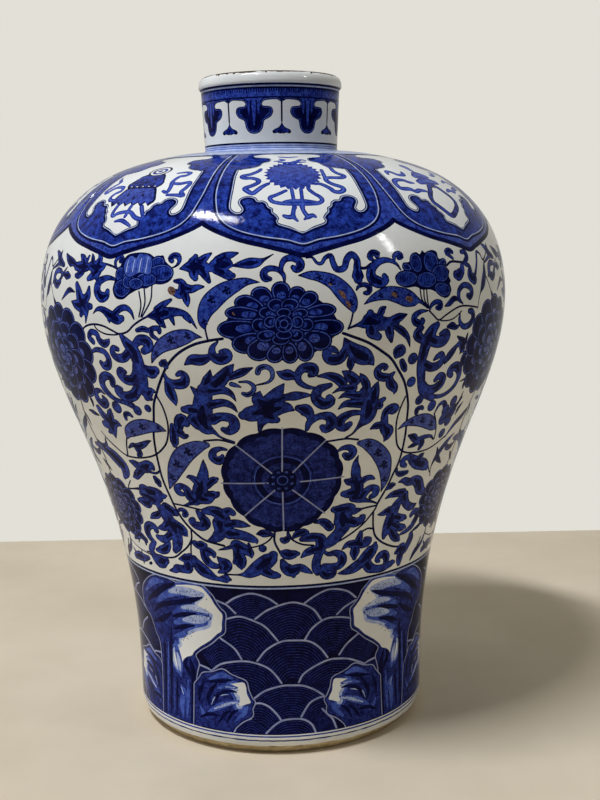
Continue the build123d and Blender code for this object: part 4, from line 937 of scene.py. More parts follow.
def lappet_frame():
    """Border, double line and cloud-headed window of one lappet."""
    edge, line = both(LAPPET_EDGE), both(LAPPET_LINE)
    half = LAPPET_PITCH / 2
    paint = [
        (np.vstack([curve(edge), [(-half, LAPPET_TOP), (half, LAPPET_TOP)]]), BORDER),
        (ribbon(lined(edge, EDGE_WIDTH)), LINE),
        (ribbon(lined(line, LINE_WIDTH)), LINE),
        (curve(line), WASH),
        (ribbon(lined(line, PALE_WIDTH)), PALE),
    ]
    window = LAPPET_CLOUD + LAPPET_SIDE
    for width, ink in WINDOW_LINES:
        for sign in (1, -1):
            paint.append((ribbon([(a * sign, s, width) for a, s in window]), ink))
            head = [(a * sign, s, width * HEAD_THINNER) for a, s in LAPPET_HEAD[:-HEAD_BARE]]
            paint.append((ribbon(head), ink))
    left_head = [(-a, s) for a, s in LAPPET_HEAD]
    inner = np.vstack([curve(both(window)), curve(left_head), curve(LAPPET_HEAD[::-1])])
    return paint + [(inner, GLAZE)]


def tied(strokes):
    """Ribbons drawn as a dark double line round a lighter wash."""
    paint = []
    for part, ink in ((RIBBON_OUTER, RIBBON), (RIBBON_INNER, LIGHT)):
        paint += [(ribbon([(a, s, w * part) for a, s, w in stroke]), ink) for stroke in strokes]
    return paint


def emblem_wheel():
    """Spiked lotus wheel on a double stalk tied with ribbons."""
    a, s = WHEEL_CENTRE
    spikes = []
    for i in range(WHEEL_POINTS):
        turn = math.tau * i / WHEEL_POINTS
        reach = WHEEL_REACH if i % 2 else WHEEL_NOTCH
        x, y = reach * math.cos(turn), reach * WHEEL_TALL * math.sin(turn)
        spikes.append((a + x / degree_mm(s), s + y))
    return [(np.array(spikes), RIBBON), (oval(a, s, *WHEEL_DISC), BORDER)] + tied(WHEEL_RIBBONS)


def emblem_canopy():
    """Two-tier canopy with a ringed knob, fringe strings and ribbons."""
    paint = []
    for low, high, half, ink in CANOPY_TIERS:
        frill = []
        for i in range(FRILLS + 1):
            frill.append((half - 2 * half * i / FRILLS, low + (0 if i % 2 else FRILL_DEPTH)))
        side = [(half + 0.2, low + 4), (half - 1.6, high - 2), (half - 2.8, high)]
        shape = np.array(frill + [(-a, s) for a, s in side] + side[::-1])
        middle = (0, (low + high) / 2)
        paint.append((shape, LINE))
        paint.append(((shape - middle) * TIER_INSIDE + middle, ink))
        for a, rise in CANOPY_SPOTS:
            paint.append((oval(a, low + rise, 0.8, 0.9, 9), LINE))
    for wide, tall, ink in KNOB_RINGS:
        paint.append((oval(*KNOB_CENTRE, wide, tall), ink))
    return paint + tied(CANOPY_STRINGS)


def emblem_jar():
    """Covered jar with a tied ribbon."""
    return [(ribbon(lined(JAR, width)), ink) for width, ink in JAR_LINES] + tied(JAR_RIBBONS)


def lappet_paint():
    """The lappets with their emblems, and the rings of the collar."""
    emblems = (emblem_wheel(), emblem_jar(), emblem_canopy())
    paint = []
    for i, emblem in enumerate(LAPPET_EMBLEMS):
        centre = LAPPET_FIRST + i * LAPPET_PITCH
        centre -= 360 if centre > 180 else 0
        paint += turned_copies(lappet_frame() + emblems[emblem], (centre,))
    return paint + [band(*ring) for ring in COLLAR_RINGS]


# Rocks and waves above the foot: angles from the middle of a valley, four valleys round the body
VALLEYS, VALLEY_FIRST, VALLEY_PITCH = 4, 3.0, 90.0
SEA_FOOT, SEA_TOP = 2.1, 78.4
# Lines inside a wave: number, step as a part of its size, depth of their middle, width and sample step
WAVE_ROWS, WAVE_STEP, WAVE_DEPTH, WAVE_LINE, WAVE_SAMPLE = 14, 0.06, 14.0, 0.34, 1.6
# Width of the foam, and the part of a wave's other side under which a rock hides a side
FOAM_WIDTH, HIDDEN_SIDE = 0.95, 0.6
WAVES = [
    [(-21.5, 70), (-18, 73.5), (-12.7, 76), (-7.5, 74), (-4, 70.5)],
    [(5, 70), (9, 74), (14, 76.5), (20, 74.5), (24, 70)],
    [(-11.7, 62.5), (-7, 67.5), (0, 71), (4.5, 70), (8.5, 66.5), (11.2, 61)],
    [(-22.3, 61.5), (-17, 63.4), (-11.5, 61), (-8, 58), (-4, 51)],
    [(5.5, 51), (8, 56.5), (12, 60.5), (16, 61.2), (22, 59.5), (26, 56)],
    [(-11.6, 40.5), (-8, 46.5), (-3, 50.5), (1.5, 51), (7, 50), (11, 46), (14, 40.5)],
    [(-29.5, 33), (-25, 37.5), (-18, 39.8), (-13, 39.5), (-8, 37), (-5, 33), (-3, 29)],
    [(3.3, 29), (5, 33), (9, 36.5), (14, 39), (18, 39), (23, 37.5), (29, 33.5)],
    [(-13, 21), (-9, 25), (-3, 27.5), (1, 27.6), (5, 27), (9, 24.5), (12.5, 21)],
    [(-16, 16), (-11.8, 18.5), (-8, 17), (-5, 13), (-3.5, 10)],
    [(4, 11), (6, 15.5), (8, 18.5), (12, 20.3), (16, 19)],
    [(-9, 3), (-6, 7), (-3, 9.5), (1, 10.2), (5, 9.5), (8, 6.5), (9.5, 2)],
    [(-25, 71), (-21.5, 69), (-18.5, 65)], [(-25, 51), (-20, 46.5), (-17.3, 41)],
    [(-34.5, 35), (-31, 34), (-29.5, 33)], [(17, 62.5), (20, 66), (24, 68.5)],
    [(18.5, 41), (21.5, 46), (26.5, 50.5)], [(28, 32), (31, 34), (36, 35)],
    [(-21, 3), (-20, 6), (-17, 9), (-14.5, 10.3)], [(12, 14), (14, 11), (16, 8), (17.5, 3)],
    [(-40, 33), (-44, 31.5)], [(40, 33), (45, 30)],
]
# Rings below and above the sea
SEA_RINGS = [
    (-1, SEA_FOOT, GLAZE), (0.7, 1.5, BORDER), (78.3, 84.0, GLAZE),
    (78.3, 79.1, PALE), (79.1, 80.3, LINE),
]
# Rocks: both edges and the bare top; strokes of a width; rows of dots of two angles, two paths and a number
ROCK_CONTOUR = [(2.2, FOAM), (1.1, LINE)]
ROCK_FADE = [(6.4, LIGHT), (3.4, PALE)]
BRUSH_END = 0.4
DOT_SEED, DOT_SPREAD, DOT_SIZE = 7, 1.7, 0.26
ROCK_EDGE = [(41, 76.5), (36, 77.8), (32.6, 78), (30, 77.5), (28.4, 75.5), (26.7, 72.8), (25.5, 69.2),
             (24, 66.2), (22.6, 64), (23.1, 59.2), (23.5, 54.5), (25.8, 52), (28.6, 48.5), (31.1, 46),
             (33.6, 43.8), (36.1, 40.8), (36.4, 38.8), (35.2, 35.5), (36.3, 30.5), (37, 24.5), (38, 2.4)]
ROCK_FAR = [(41, 76.5), (46.8, 78), (52.1, 77.2), (58, 72.8), (62.7, 66.5), (63.7, 57.8), (59.5, 53.2),
            (56.9, 45.5), (54.8, 41.2), (54.5, 29.8), (55.5, 2.4)]
ROCK_WHITE = [(41.2, 75.8), (36, 77.2), (32.6, 77.5), (30.3, 77), (28.9, 75), (27.2, 72), (25.9, 68.5),
              (24.5, 65.8), (23.4, 63.5), (23.9, 59.2), (24.3, 55), (26.2, 52.8), (28.9, 49.2),
              (31.4, 46.8), (33.8, 44.5), (36.4, 41.5), (37.8, 39), (40.3, 37.5), (42.3, 35),
              (43.7, 30.5), (45.4, 30.5), (46.8, 33.8), (46.6, 38.2), (42.2, 42.8), (42.2, 45.8),
              (39.2, 48.8), (35.1, 52.2), (31.5, 54), (28.6, 56.2), (27.8, 59.5), (27.1, 62.8),
              (28.4, 64.2), (31.9, 64.5), (32.7, 67.5), (30.2, 71.2), (29.5, 73.8), (32.9, 75.2),
              (36.2, 75.5), (41, 73.8), (41.2, 75.8)]
ROCK_LIGHTS = [
    (4.8, [(53.1, 63.5), (46.1, 70), (40.2, 72.8), (34.8, 73), (30.6, 72.8)]),
    (4, [(44.4, 60.5), (38.5, 64), (34, 64.5), (28.9, 63.5)]),
    (5, [(44.6, 54.5), (38.3, 58), (32.3, 59.2), (28.4, 61)]),
    (3.6, [(60.2, 67), (53.4, 74), (47.8, 75.8)]), (2, [(49.3, 57), (49.3, 52.8)]),
    (4, [(45.5, 44), (44.8, 37.8), (44.1, 32.5), (44, 26.5)]),
    (3.4, [(44.3, 21), (42.9, 17.8), (44.2, 12), (43.9, 4.5)]),
    (2.2, [(40.4, 25), (40.9, 15.8), (41.8, 5.2)]), (1.2, [(49.8, 42.5), (51.3, 25.5), (52.6, 4.2)]),
    (1, [(47.7, 21.5), (48.7, 4.8)]), (3, [(45.5, 47.2), (42.2, 48.5), (39, 50.5)]),
]
ROCK_PALE = [
    (4.4, [(45, 71.2), (40, 73.2), (34.4, 73.4), (30.6, 72.8)]),
    (3.2, [(40, 64), (36, 65), (32.6, 65), (29, 63.8)]),
    (4.2, [(40, 57.4), (36, 58.6), (32, 59.6), (28.8, 60.8)]),
    (2.6, [(45.2, 38), (44.6, 34), (44.2, 29)]), (1.4, [(44.2, 20), (43.2, 17)]),
]
ROCK_CRACKS = [
    (2.6, [(56.4, 56.8), (51.6, 61.5), (45.9, 64.5), (40, 67), (34.3, 69.5), (30.8, 71.5)]),
    (2.6, [(45.3, 57.8), (39.9, 60.2), (34.2, 62.3)]), (2.6, [(45.7, 50.8), (40.1, 53.8), (35.3, 55.5)]),
    (3.2, [(60, 61.5), (53.6, 67.2), (47.2, 72.8), (42, 76.2)]),
    (3.2, [(57.6, 50.8), (50.9, 54.8), (46.1, 59.2)]), (2.4, [(52, 42.2), (52.7, 30.5), (54.2, 3.5)]),
    (2.4, [(46.9, 51.2), (48.5, 37.5), (50.6, 3.8)]), (1.6, [(46.2, 24.8), (46.5, 16.5), (47.3, 4.2)]),
    (2.8, [(38.7, 37), (37.9, 32.2), (37.8, 25.8), (39.5, 3.2)]),
    (2.4, [(40.2, 36.5), (41.2, 33.5), (39.7, 29.5), (38.8, 27.2)]),
]
ROCK_DOTS = [
    (42, 28.6, 72.6, 72.4, 44), (38, 28.4, 64, 63.8, 30), (38, 28, 58.2, 61, 34),
    (42, 36, 47, 51, 24), (46, 43, 42, 34, 16),
]
SMALL_EDGE = [(37, 24), (34.5, 27.8), (33, 30.5), (29, 31.8), (25, 34), (22, 32), (19, 30.5), (16.3, 29),
              (15.6, 24.8), (14.2, 20.2), (13.3, 18.8), (14.3, 15.5), (14.4, 11.8), (17.9, 8.8),
              (20.8, 5.2), (22, 2.4)]
SMALL_FAR = [(37, 24), (38, 2.4)]
SMALL_WHITE = [(21, 27.8), (17.1, 28.8), (16.1, 26.5), (15.8, 22.8), (14.5, 18.8), (15.8, 17.8),
               (18.9, 16.5), (18.5, 20.8), (19.6, 23), (19.2, 25.2), (21.4, 26.2), (21, 27.8)]
SMALL_LIGHTS = [
    (2.8, [(30.5, 28.5), (25.3, 31.5), (21.3, 30.5)]), (3.4, [(31.5, 11.2), (25.8, 15.5), (19.1, 18.8)]),
    (2.6, [(27.2, 24.2), (23, 26), (19.5, 25.8)]), (2.4, [(35.1, 13.2), (33.8, 9.8), (32.1, 8)]),
    (2.6, [(15.8, 16.2), (17.1, 13), (20.3, 8.5)]),
]
SMALL_PALE = [
    (1.6, [(29, 13.2), (24, 16.4), (19.4, 18.4)]), (1.2, [(24, 25.6), (20.4, 25.8)]),
    (0.6, [(30.1, 15.2), (28.7, 19), (25.6, 21), (23.2, 21.8)]),
]
SMALL_CRACKS = [
    (2, [(31.9, 26.8), (26.2, 28.2), (21.3, 29.5)]),
    (2.2, [(31.2, 14.8), (31.4, 18.5), (29.8, 23), (27.5, 26.8)]),
    (1.7, [(28.3, 16.5), (27.7, 19.8), (25.6, 22.2), (22.3, 23.8), (19.7, 23.4)]),
    (2.4, [(35.5, 15.8), (34.8, 21.2), (33.1, 26.2)]), (1.8, [(27.3, 6), (25.1, 10.8), (22.4, 13.5)]),
    (1.8, [(24, 6.8), (21.8, 12), (19.4, 14.2)]), (2, [(35.3, 7.2), (31.1, 10), (26.8, 10)]),
]
SMALL_DOTS = [(28, 19, 25, 26, 14), (28, 19, 14.5, 18.5, 14)]
# The point of the bare top where the wash begins to fade
ROCK_TURN, SMALL_TURN = 20, 6


def brush(width, points):
    """A stroke that is thin at both ends."""
    ends = (0, len(points) - 1)
    return [(a, s, width * (BRUSH_END if i in ends else 1.0)) for i, (a, s) in enumerate(points)]


def rock(edge, far, white, turn, lights, pale, cracks, dots):
    """One rock: pale contour, blue body, bare top, lights, dark cracks and dots where the wash ends."""
    paint = []
    for width, ink in ROCK_CONTOUR:
        paint += [(ribbon(lined(row, width)), ink) for row in (edge, far)]
    paint.append((np.vstack([curve(edge), curve(far)[::-1]]), DISC))
    for width, ink in ROCK_FADE:
        paint.append((ribbon(lined(white[turn:-1], width)), ink))
    paint.append((curve(white), GLAZE))
    for group, ink in ((lights, LIGHT), (pale, PALE), (cracks, LINE)):
        paint += [(ribbon(brush(width, row)), ink) for width, row in group]
    dice = random.Random(DOT_SEED)
    for a0, a1, s0, s1, count in dots:
        for _ in range(count):
            t = dice.random()
            a, s = a0 + (a1 - a0) * t, s0 + (s1 - s0) * t + dice.uniform(-DOT_SPREAD, DOT_SPREAD)
            paint.append((oval(a, s, DOT_SIZE, DOT_SIZE, 6), LINE))
    return paint


def whole_wave(row):
    """A wave with both its sides: where a rock hides most of one side, it mirrors the other."""
    crest = max(range(len(row)), key=lambda i: row[i][1])
    left, right = row[:crest], row[crest + 1 :]
    middle = row[crest][0]
    left_reach, right_reach = middle - row[0][0], row[-1][0] - middle
    if left_reach < HIDDEN_SIDE * right_reach:
        left = [(2 * middle - a, s) for a, s in right[::-1]]
    elif right_reach < HIDDEN_SIDE * left_reach:
        right = [(2 * middle - a, s) for a, s in left[::-1]]
    return left + [row[crest]] + right


def wave_paint():
    """The sea with its lined waves, the rocks at the sides of each valley and the rings round it."""
    waves = []
    for row in sorted(WAVES, key=lambda row: -max(s for _, s in row)):
        if len(row) > 2:
            wave = np.array(whole_wave(row))
            middle = (wave[0] + wave[-1]) / 2 - (0, WAVE_DEPTH)
            waves.append((np.vstack([curve(wave), middle]), NAVY))
            for i in range(1, WAVE_ROWS):
                inner = middle + (wave - middle) * (1 - WAVE_STEP * i)
                waves.append((ribbon(lined(inner, WAVE_LINE), 0, WAVE_SAMPLE), DISC))
        waves.append((ribbon(lined(row, FOAM_WIDTH)), FOAM))
    turns = [VALLEY_FIRST + VALLEY_PITCH * i - (360 if i > 1 else 0) for i in range(VALLEYS)]
    paint = [band(SEA_FOOT, SEA_TOP, NAVY)] + turned_copies(waves, turns)
    tall = rock(
        ROCK_EDGE, ROCK_FAR, ROCK_WHITE, ROCK_TURN, ROCK_LIGHTS, ROCK_PALE, ROCK_CRACKS, ROCK_DOTS
    )
    small = rock(
        SMALL_EDGE, SMALL_FAR, SMALL_WHITE, SMALL_TURN, SMALL_LIGHTS, SMALL_PALE, SMALL_CRACKS, SMALL_DOTS
    )
    for sign in (1, -1):
        paint += turned_copies([(p * (sign, 1), ink) for p, ink in tall], turns[::2])
        paint += turned_copies([(p * (sign, 1), ink) for p, ink in small], turns)
    return paint + [band(*ring) for ring in SEA_RINGS]


body_paint = wave_paint() + scroll_paint() + lappet_paint()


BEZIER_POINTS = 24


def bezier(*points):
    """Points of the curve that a few control points draw."""
    t = np.linspace(0, 1, BEZIER_POINTS)[:, None]
    rows = [np.asarray(p, float) for p in points]
    while len(rows) > 1:
        rows = [a * (1 - t) + b * t for a, b in zip(rows, rows[1:])]
    return rows[0]


# Neck, lip and foot: outlines of radius and height from the foot of each piece upwards
FILLET_FOOT, FILLET_TOP = COLLAR_HEIGHT + 0.6, COLLAR_HEIGHT + 2.2
NECK = np.vstack([
    [(NECK_FOOT, COLLAR_HEIGHT)],
    bezier((NECK_FOOT, FILLET_FOOT), (NECK_LOW, FILLET_FOOT), (NECK_LOW, FILLET_TOP)),
    np.linspace((NECK_LOW, FILLET_TOP + 0.2), (NECK_TOP, RIM_JOINT), 60),
])
LIP_FOOT = RIM_JOINT + 2.0
LIP_ROUND = TOP_HEIGHT - 1.6
LIP = np.vstack([
    bezier(
        (NECK_TOP, RIM_JOINT), (NECK_TOP + 0.5, RIM_JOINT + 1.2),
        (LIP_RADIUS, RIM_JOINT + 1.0), (LIP_RADIUS, LIP_FOOT),
    ),
    bezier(
        (LIP_RADIUS, LIP_FOOT + 0.02), (LIP_RADIUS, LIP_ROUND),
        (LIP_BEND, TOP_HEIGHT), (LIP_CROWN, TOP_HEIGHT),
    ),
    np.linspace((LIP_CROWN - 0.1, TOP_HEIGHT), (LIP_INNER + 0.1, TOP_HEIGHT), 8),
    bezier((LIP_INNER, TOP_HEIGHT), (OPEN_RADIUS, TOP_HEIGHT), (OPEN_RADIUS, LIP_ROUND)),
])
FOOT = np.vstack([
    np.linspace((SOLE_RADIUS, 0.0), (BEVEL_RADIUS, BEVEL_HEIGHT), 12),
    np.linspace((BEVEL_RADIUS, BEVEL_HEIGHT), (ANKLE_RADIUS, FOOT_HEIGHT), 11)[1:],
])

# Ruyi collar of the neck: half outlines of angle and height; the edge runs from a bell to a pendant
COLLAR_EDGE = [(0, 315.3), (1.3, 315.3), (4, 316.2), (9, 316.1), (13.5, 315.7), (15.6, 314.5),
               (14.8, 313.4), (11.5, 313.2), (8.4, 312.8), (7, 311.4), (7, 310), (8.8, 308.2),
               (11.6, 307.2), (14, 306.4), (14.8, 304.6), (15.6, 302.8), (17.6, 301.2), (20, 300.4),
               (22.5, 300.2)]
CORE = [(0, 302), (3.6, 302.4), (5.2, 304.2), (5.8, 307), (9.4, 308.6), (12.2, 310.4), (12, 311.4),
        (8, 312), (5.6, 313), (5, 315.4), (0, 316.2)]
BELL = [(0, 306.4), (0.9, 304.6), (2.8, 303.2), (6.4, 302.2), (7.8, 301.2), (6.6, 300.2), (3.6, 300.5),
        (1.4, 300.1), (0, 300.3)]
BELLS, BELL_FIRST, BELL_PITCH = 8, 9.0, 45.0
COLLAR_TOP, WHITE_FOOT = 322.3, 296.2
COLLAR_LINES = [(3.0, LINE), (1.7, LIGHT), (1.1, LINE)]
# Streaks over a pendant's core: angle, width and the height of the lower end
STREAKS = [(22.5, 2.2, 304.5), (18.4, 1.2, 309.4), (26.4, 1.4, 309.8)]
STREAK_TOP, STREAK_MIDDLE = 316.6, 312
CORD_TOP, CORD_FOOT, CORD_WIDTH, BELL_INSIDE = 316.4, 306, 0.9, (0.72, 0.66)
FRINGE, FRINGE_TOP, FRINGE_FOOT, FRINGE_SEED = 180, 322.2, (319.4, 320.8), 12
# Rings of the neck from one height to another; at the joint the paint runs a little over the end
NECK_RINGS = [
    (321.4, COLLAR_TOP, LINE), (317.0, 317.7, LINE), (COLLAR_TOP, RIM_JOINT, PALE),
    (COLLAR_HEIGHT, 295.4, PALE), (293.4, 293.8, LIGHT), (294.4, 294.7, LIGHT), (295.4, 296.3, LINE),
]
PAST_END = 0.1
# Steps between the points of a curve, in millimetres
FINE, MEDIUM, COARSE = 0.4, 0.6, 0.8


def neck_paint():
    """Collar of pendants and bells, the fringe at the top and the rings."""
    length = arc_length(NECK)

    def per(path):
        """Millimetres in one degree at a path length of the neck."""
        return np.radians(1.0) * np.interp(path, length, NECK[:, 0])

    def up(height):
        """Path length of the neck at a height."""
        return float(np.interp(height, NECK[:, 1], length))

    def mirrored(half):
        """A closed shape from half an outline of angle and height."""
        row = [(a, up(z)) for a, z in half]
        return curve(row + [(-a, s) for a, s in row[-2::-1]], FINE, per)

    edge = [(a, up(z)) for a, z in COLLAR_EDGE]
    edge = edge + [(BELL_PITCH - a, s) for a, s in edge[-2::-1]]
    run = curve(edge, FINE, per)
    collar = [(np.vstack([run, [(BELL_PITCH, up(COLLAR_TOP)), (0, up(COLLAR_TOP))]]), BORDER)]
    for width, ink in COLLAR_LINES:
        collar.append((ribbon(lined(edge, width), 0, FINE, per), ink))
    pendant = [(np.vstack([run, [(BELL_PITCH, up(WHITE_FOOT)), (0, up(WHITE_FOOT))]]), GLAZE)]
    pendant.append((mirrored(CORE) + (BELL_PITCH / 2, 0), LINE))
    for a, width, low in STREAKS:
        row = [(a, up(STREAK_TOP), width), (a, up(STREAK_MIDDLE), width * 0.9), (a, up(low), width * 0.3)]
        pendant.append((ribbon(row, 0, MEDIUM, per), BORDER))
    shape = mirrored(BELL)
    middle = shape.mean(axis=0)
    cord = lined([(0, up(CORD_TOP)), (0, up(CORD_FOOT))], CORD_WIDTH)
    bell = [(ribbon(cord, 0, MEDIUM, per), LINE), (shape, LINE)]
    bell.append(((shape - middle) * BELL_INSIDE + middle, WASH))
    turns = [BELL_FIRST + BELL_PITCH * i - (360 if i > 3 else 0) for i in range(BELLS)]
    paint = turned_copies(collar, turns) + turned_copies(pendant, turns) + turned_copies(bell, turns)
    dice = np.random.default_rng(FRINGE_SEED)
    for i in range(FRINGE):
        a, low = -180 + 360 / FRINGE * i + 1, dice.uniform(*FRINGE_FOOT)
        row = [(a, up(FRINGE_TOP), 0.7), (a + dice.uniform(-0.4, 0.4), up(low), 0.5)]
        paint.append((ribbon(row, 0, COARSE, per), LINE))
    for low, high, ink in NECK_RINGS:
        paint.append(band(up(low), up(high) + PAST_END * (high == RIM_JOINT), ink))
    return paint


# Worn lip: dark strokes just outside the crown's edge, chips below it and a bare ring on the crown
LIP_LINE_TOP = 324.0
LIP_STROKES, LIP_STROKE_DROP, LIP_CHIPS, LIP_SEED = 60, 1.7, 30, 5
BARE_RING = (0.8, 3.2)


def lip_paint():
    """Dark line under the lip, the worn edge and the bare ring on top."""
    length = arc_length(LIP)
    edge = float(length[2 * BEZIER_POINTS - 1])

    def per(path):
        """Millimetres in one degree at a path length of the lip."""
        return np.radians(1.0) * np.interp(path, length, LIP[:, 0])

    line_top = float(np.interp(LIP_LINE_TOP, LIP[:BEZIER_POINTS, 1], length[:BEZIER_POINTS]))
    paint = [band(0, line_top, LINE)]
    dice = np.random.default_rng(LIP_SEED)
    for i in range(LIP_STROKES):
        a, s = -180 + 360 / LIP_STROKES * i, edge - LIP_STROKE_DROP + dice.uniform(-0.2, 0.2)
        width = dice.uniform(1.7, 2.6) if i % 7 else 0.9
        row = [(a, s, width), (a + 3.2, s + 0.2, width * 1.2), (a + 6.4, s, width * 0.7)]
        paint.append((ribbon(row, 0, COARSE, per), CHIP))
    for _ in range(LIP_CHIPS):
        place = dice.uniform(-178, 178), edge - dice.uniform(2.0, 3.4)
        paint.append((oval(*place, dice.uniform(0.3, 0.9), dice.uniform(0.3, 0.8), 12, per), CHIP))
    paint.append(band(edge + BARE_RING[0], edge + BARE_RING[1], BARE))
    return paint


def wobbly_band(low, high, amount, count, ink, seed):
    """A ring of paint whose two edges waver."""
    dice = np.random.default_rng(seed)
    a = np.linspace(-180, 180, count)
    top = high + amount * dice.uniform(-1, 1, count)
    foot = low + amount * dice.uniform(-1, 1, count)
    top[-1], foot[-1] = top[0], foot[0]
    return np.vstack([np.stack([a, foot], 1), np.stack([a[::-1], top[::-1]], 1)]), ink


# Foot: wavering rings from one height to another, with waver, points, ink and seed
FOOT_RINGS = [(7.6, 8.3, 0.18, 160, LIGHT, 4), (7.8, 8.2, 0.16, 160, LINE, 6)]
BEVEL_WAVER, BEVEL_POINTS, BEVEL_SEED = 0.3, 140, 7
# Iron stains on the bare bevel, and the millimetres in one degree there
FOOT_STAINS, STAIN_SEED, FOOT_DEGREE = 46, 8, 1.3


def foot_paint():
    """Wavering cobalt line, bare bevel and its iron stains."""
    length = arc_length(FOOT)

    def up(height):
        """Path length of the foot at a height."""
        return float(np.interp(height, FOOT[:, 1], length))

    paint = [wobbly_band(up(low), up(high), *more) for low, high, *more in FOOT_RINGS]
    paint.append(wobbly_band(-1, up(BEVEL_HEIGHT), BEVEL_WAVER, BEVEL_POINTS, BARE, BEVEL_SEED))
    dice = np.random.default_rng(STAIN_SEED)
    for _ in range(FOOT_STAINS):
        place = dice.uniform(-178, 178), up(BEVEL_HEIGHT) - dice.uniform(0.2, 5.0)
        stain = oval(*place, dice.uniform(0.4, 2.2), dice.uniform(0.2, 0.5), 14, lambda path: FOOT_DEGREE)
        paint.append((stain, STAIN))
    return paint


# Points nearer than NEAR to the seam or to an end of a piece lie on it; cut points merge within CUT_NEAR
NEAR, CUT_NEAR = 1e-4, 1e-5
BACK_POINTS, TURN_STEPS = 120, 160
# Bake map: a margin round each strip of the skin, and the back in a low strip below them
MARGIN, SKIN_FOOT, BACK_EDGE, BACK_TALL = 0.004, 0.06, 0.01, 0.045


def inside(polygon, points):
    """Nonzero winding test of many points against one outline."""
    wind = np.zeros(len(points), int)
    x, y = points[:, 0], points[:, 1]
    for (x0, y0), (x1, y1) in zip(polygon, np.roll(polygon, -1, axis=0)):
        side = (x1 - x0) * (y - y0) - (x - x0) * (y1 - y0)
        wind += ((y0 <= y) & (y1 > y) & (side > 0)).astype(int)
        wind -= ((y0 > y) & (y1 <= y) & (side < 0)).astype(int)
    return wind != 0


def shapes_between(paint, low, high):
    """The painted shapes that reach between two path lengths, also those that come in over the seam."""
    shapes = []
    for polygon, ink in paint:
        if polygon is None or polygon[:, 1].max() < low or polygon[:, 1].min() > high:
            continue
        for turn in (-360, 0, 360):
            moved = polygon + (turn, 0)
            if moved[:, 0].max() > -180 and moved[:, 0].min() < 180:
                shapes.append((moved, ink))
    return shapes


def face_inks(shapes, middles):
    """The ink of each face: the last shape that its middle lies in."""
    inks = np.full(len(middles), GLAZE)
    order = np.argsort(middles[:, 1])
    rows = middles[order, 1]
    for polygon, ink in shapes:
        least, most = polygon.min(axis=0), polygon.max(axis=0)
        first, last = np.searchsorted(rows, (least[1], most[1]))
        near = order[first:last]
        near = near[(middles[near, 0] >= least[0]) & (middles[near, 0] <= most[0])]
        if len(near):
            inks[near[inside(polygon, middles[near])]] = ink
    return inks


def cut_surface(low, high, paint, scale, grid, strips):
    """Triangles of the unrolled surface with every painted edge cut in: places, faces and inks."""
    points, edges = [], []

    def chain(row, closed):
        """Adds a line of points and the edges between them."""
        first, count = len(points), len(row)
        points.extend((a * scale, s) for a, s in row)
        edges.extend((first + i, first + i + 1) for i in range(count - 1))
        if closed:
            edges.append((first + count - 1, first))

    around = np.linspace(-180, 180, int(360 * scale / grid) + 1)
    along = np.linspace(low, high, max(2, int((high - low) / grid) + 2))
    for s in (low, high):
        chain([(a, s) for a in around], False)
    for i in range(strips + 1):
        chain([(-180 + 360 * i / strips, s) for s in along], False)
    shapes = shapes_between(paint, low, high)
    for polygon, _ in shapes:
        chain([tuple(p) for p in polygon], True)
    for i, s in enumerate(along[1:-1]):
        shift = (i % 2) * 0.5 * (around[1] - around[0])
        points.extend((a * scale + shift * scale, s) for a in around[:-1] if -180 < a + shift < 180)
    verts, _, faces, _, _, _ = delaunay_2d_cdt([Vector(p) for p in points], edges, [], 0, CUT_NEAR, False)
    places = np.array([(v[0] / scale, v[1]) for v in verts])
    skin = np.array([f for f in faces if len(f) == 3])
    middles = places[skin].mean(axis=1)
    kept = (abs(middles[:, 0]) < 180) & (middles[:, 1] > low) & (middles[:, 1] < high)
    return places, skin[kept], face_inks(shapes, middles[kept])


def ring_point(radius, angle, height):
    """Scene place of a point in millimetres; angle 0 faces the camera."""
    turn = math.radians(angle)
    return radius * math.sin(turn) * MM, -radius * math.cos(turn) * MM, height * MM


def skin_points(places, skin, profile, length):
    """Scene points of the skin with its seam closed, their places, and the faces between them."""
    moved = np.full(len(places), -1)
    points, spots, seam = [], [], {}
    for i in np.unique(skin):
        angle, path = places[i]
        on_seam, key = abs(abs(angle) - 180) < NEAR, round(path, 4)
        if on_seam and key in seam:
            moved[i] = seam[key]
            continue
        moved[i] = len(points)
        if on_seam:
            seam[key] = len(points)
        radius, height = np.interp(path, length, profile[:, 0]), np.interp(path, length, profile[:, 1])
        points.append(ring_point(radius, angle, height))
        spots.append((angle, path))
    return points, spots, [tuple(face) for face in moved[skin]]


def loft(low, high):
    """Triangles between two rings given as lists of angle and index, sorted by angle."""
    faces, i, j = [], 0, 0
    n, m = len(low), len(high)
    while i < n or j < m:
        a = low[(i + 1) % n][0] + 360 * ((i + 1) // n)
        b = high[(j + 1) % m][0] + 360 * ((j + 1) // m)
        if j >= m or (i < n and a <= b):
            faces.append((low[i % n][1], low[(i + 1) % n][1], high[j % m][1]))
            i += 1
        else:
            faces.append((low[i % n][1], high[(j + 1) % m][1], high[j % m][1]))
            j += 1
    return faces


def skin_map(corners, low, high, strips):
    """Bake map of the skin: its strips one above another."""
    angle, path = corners[:, :, 0], corners[:, :, 1]
    strip = np.clip(((angle.mean(axis=1) + 180) / 360 * strips).astype(int), 0, strips - 1)[:, None]
    u = (angle + 180) / 360 * strips - strip
    v = (path - low) / (high - low)
    inner = 1 - 2 * MARGIN
    rows = SKIN_FOOT + (strip + MARGIN + v * inner) / strips * (1 - SKIN_FOOT)
    return np.stack([MARGIN + u * inner, rows], 2).reshape(-1, 2)


def back_map(points):
    """Bake map of the back: one low strip under the skin."""
    x, y, z = points.T
    u = BACK_EDGE + (1 - 2 * BACK_EDGE) * (np.arctan2(x, -y) / math.tau + 0.5)
    v = MARGIN + BACK_TALL * (z - z.min()) / (z.max() - z.min() + 1e-9)
    return np.stack([u, v], 1)


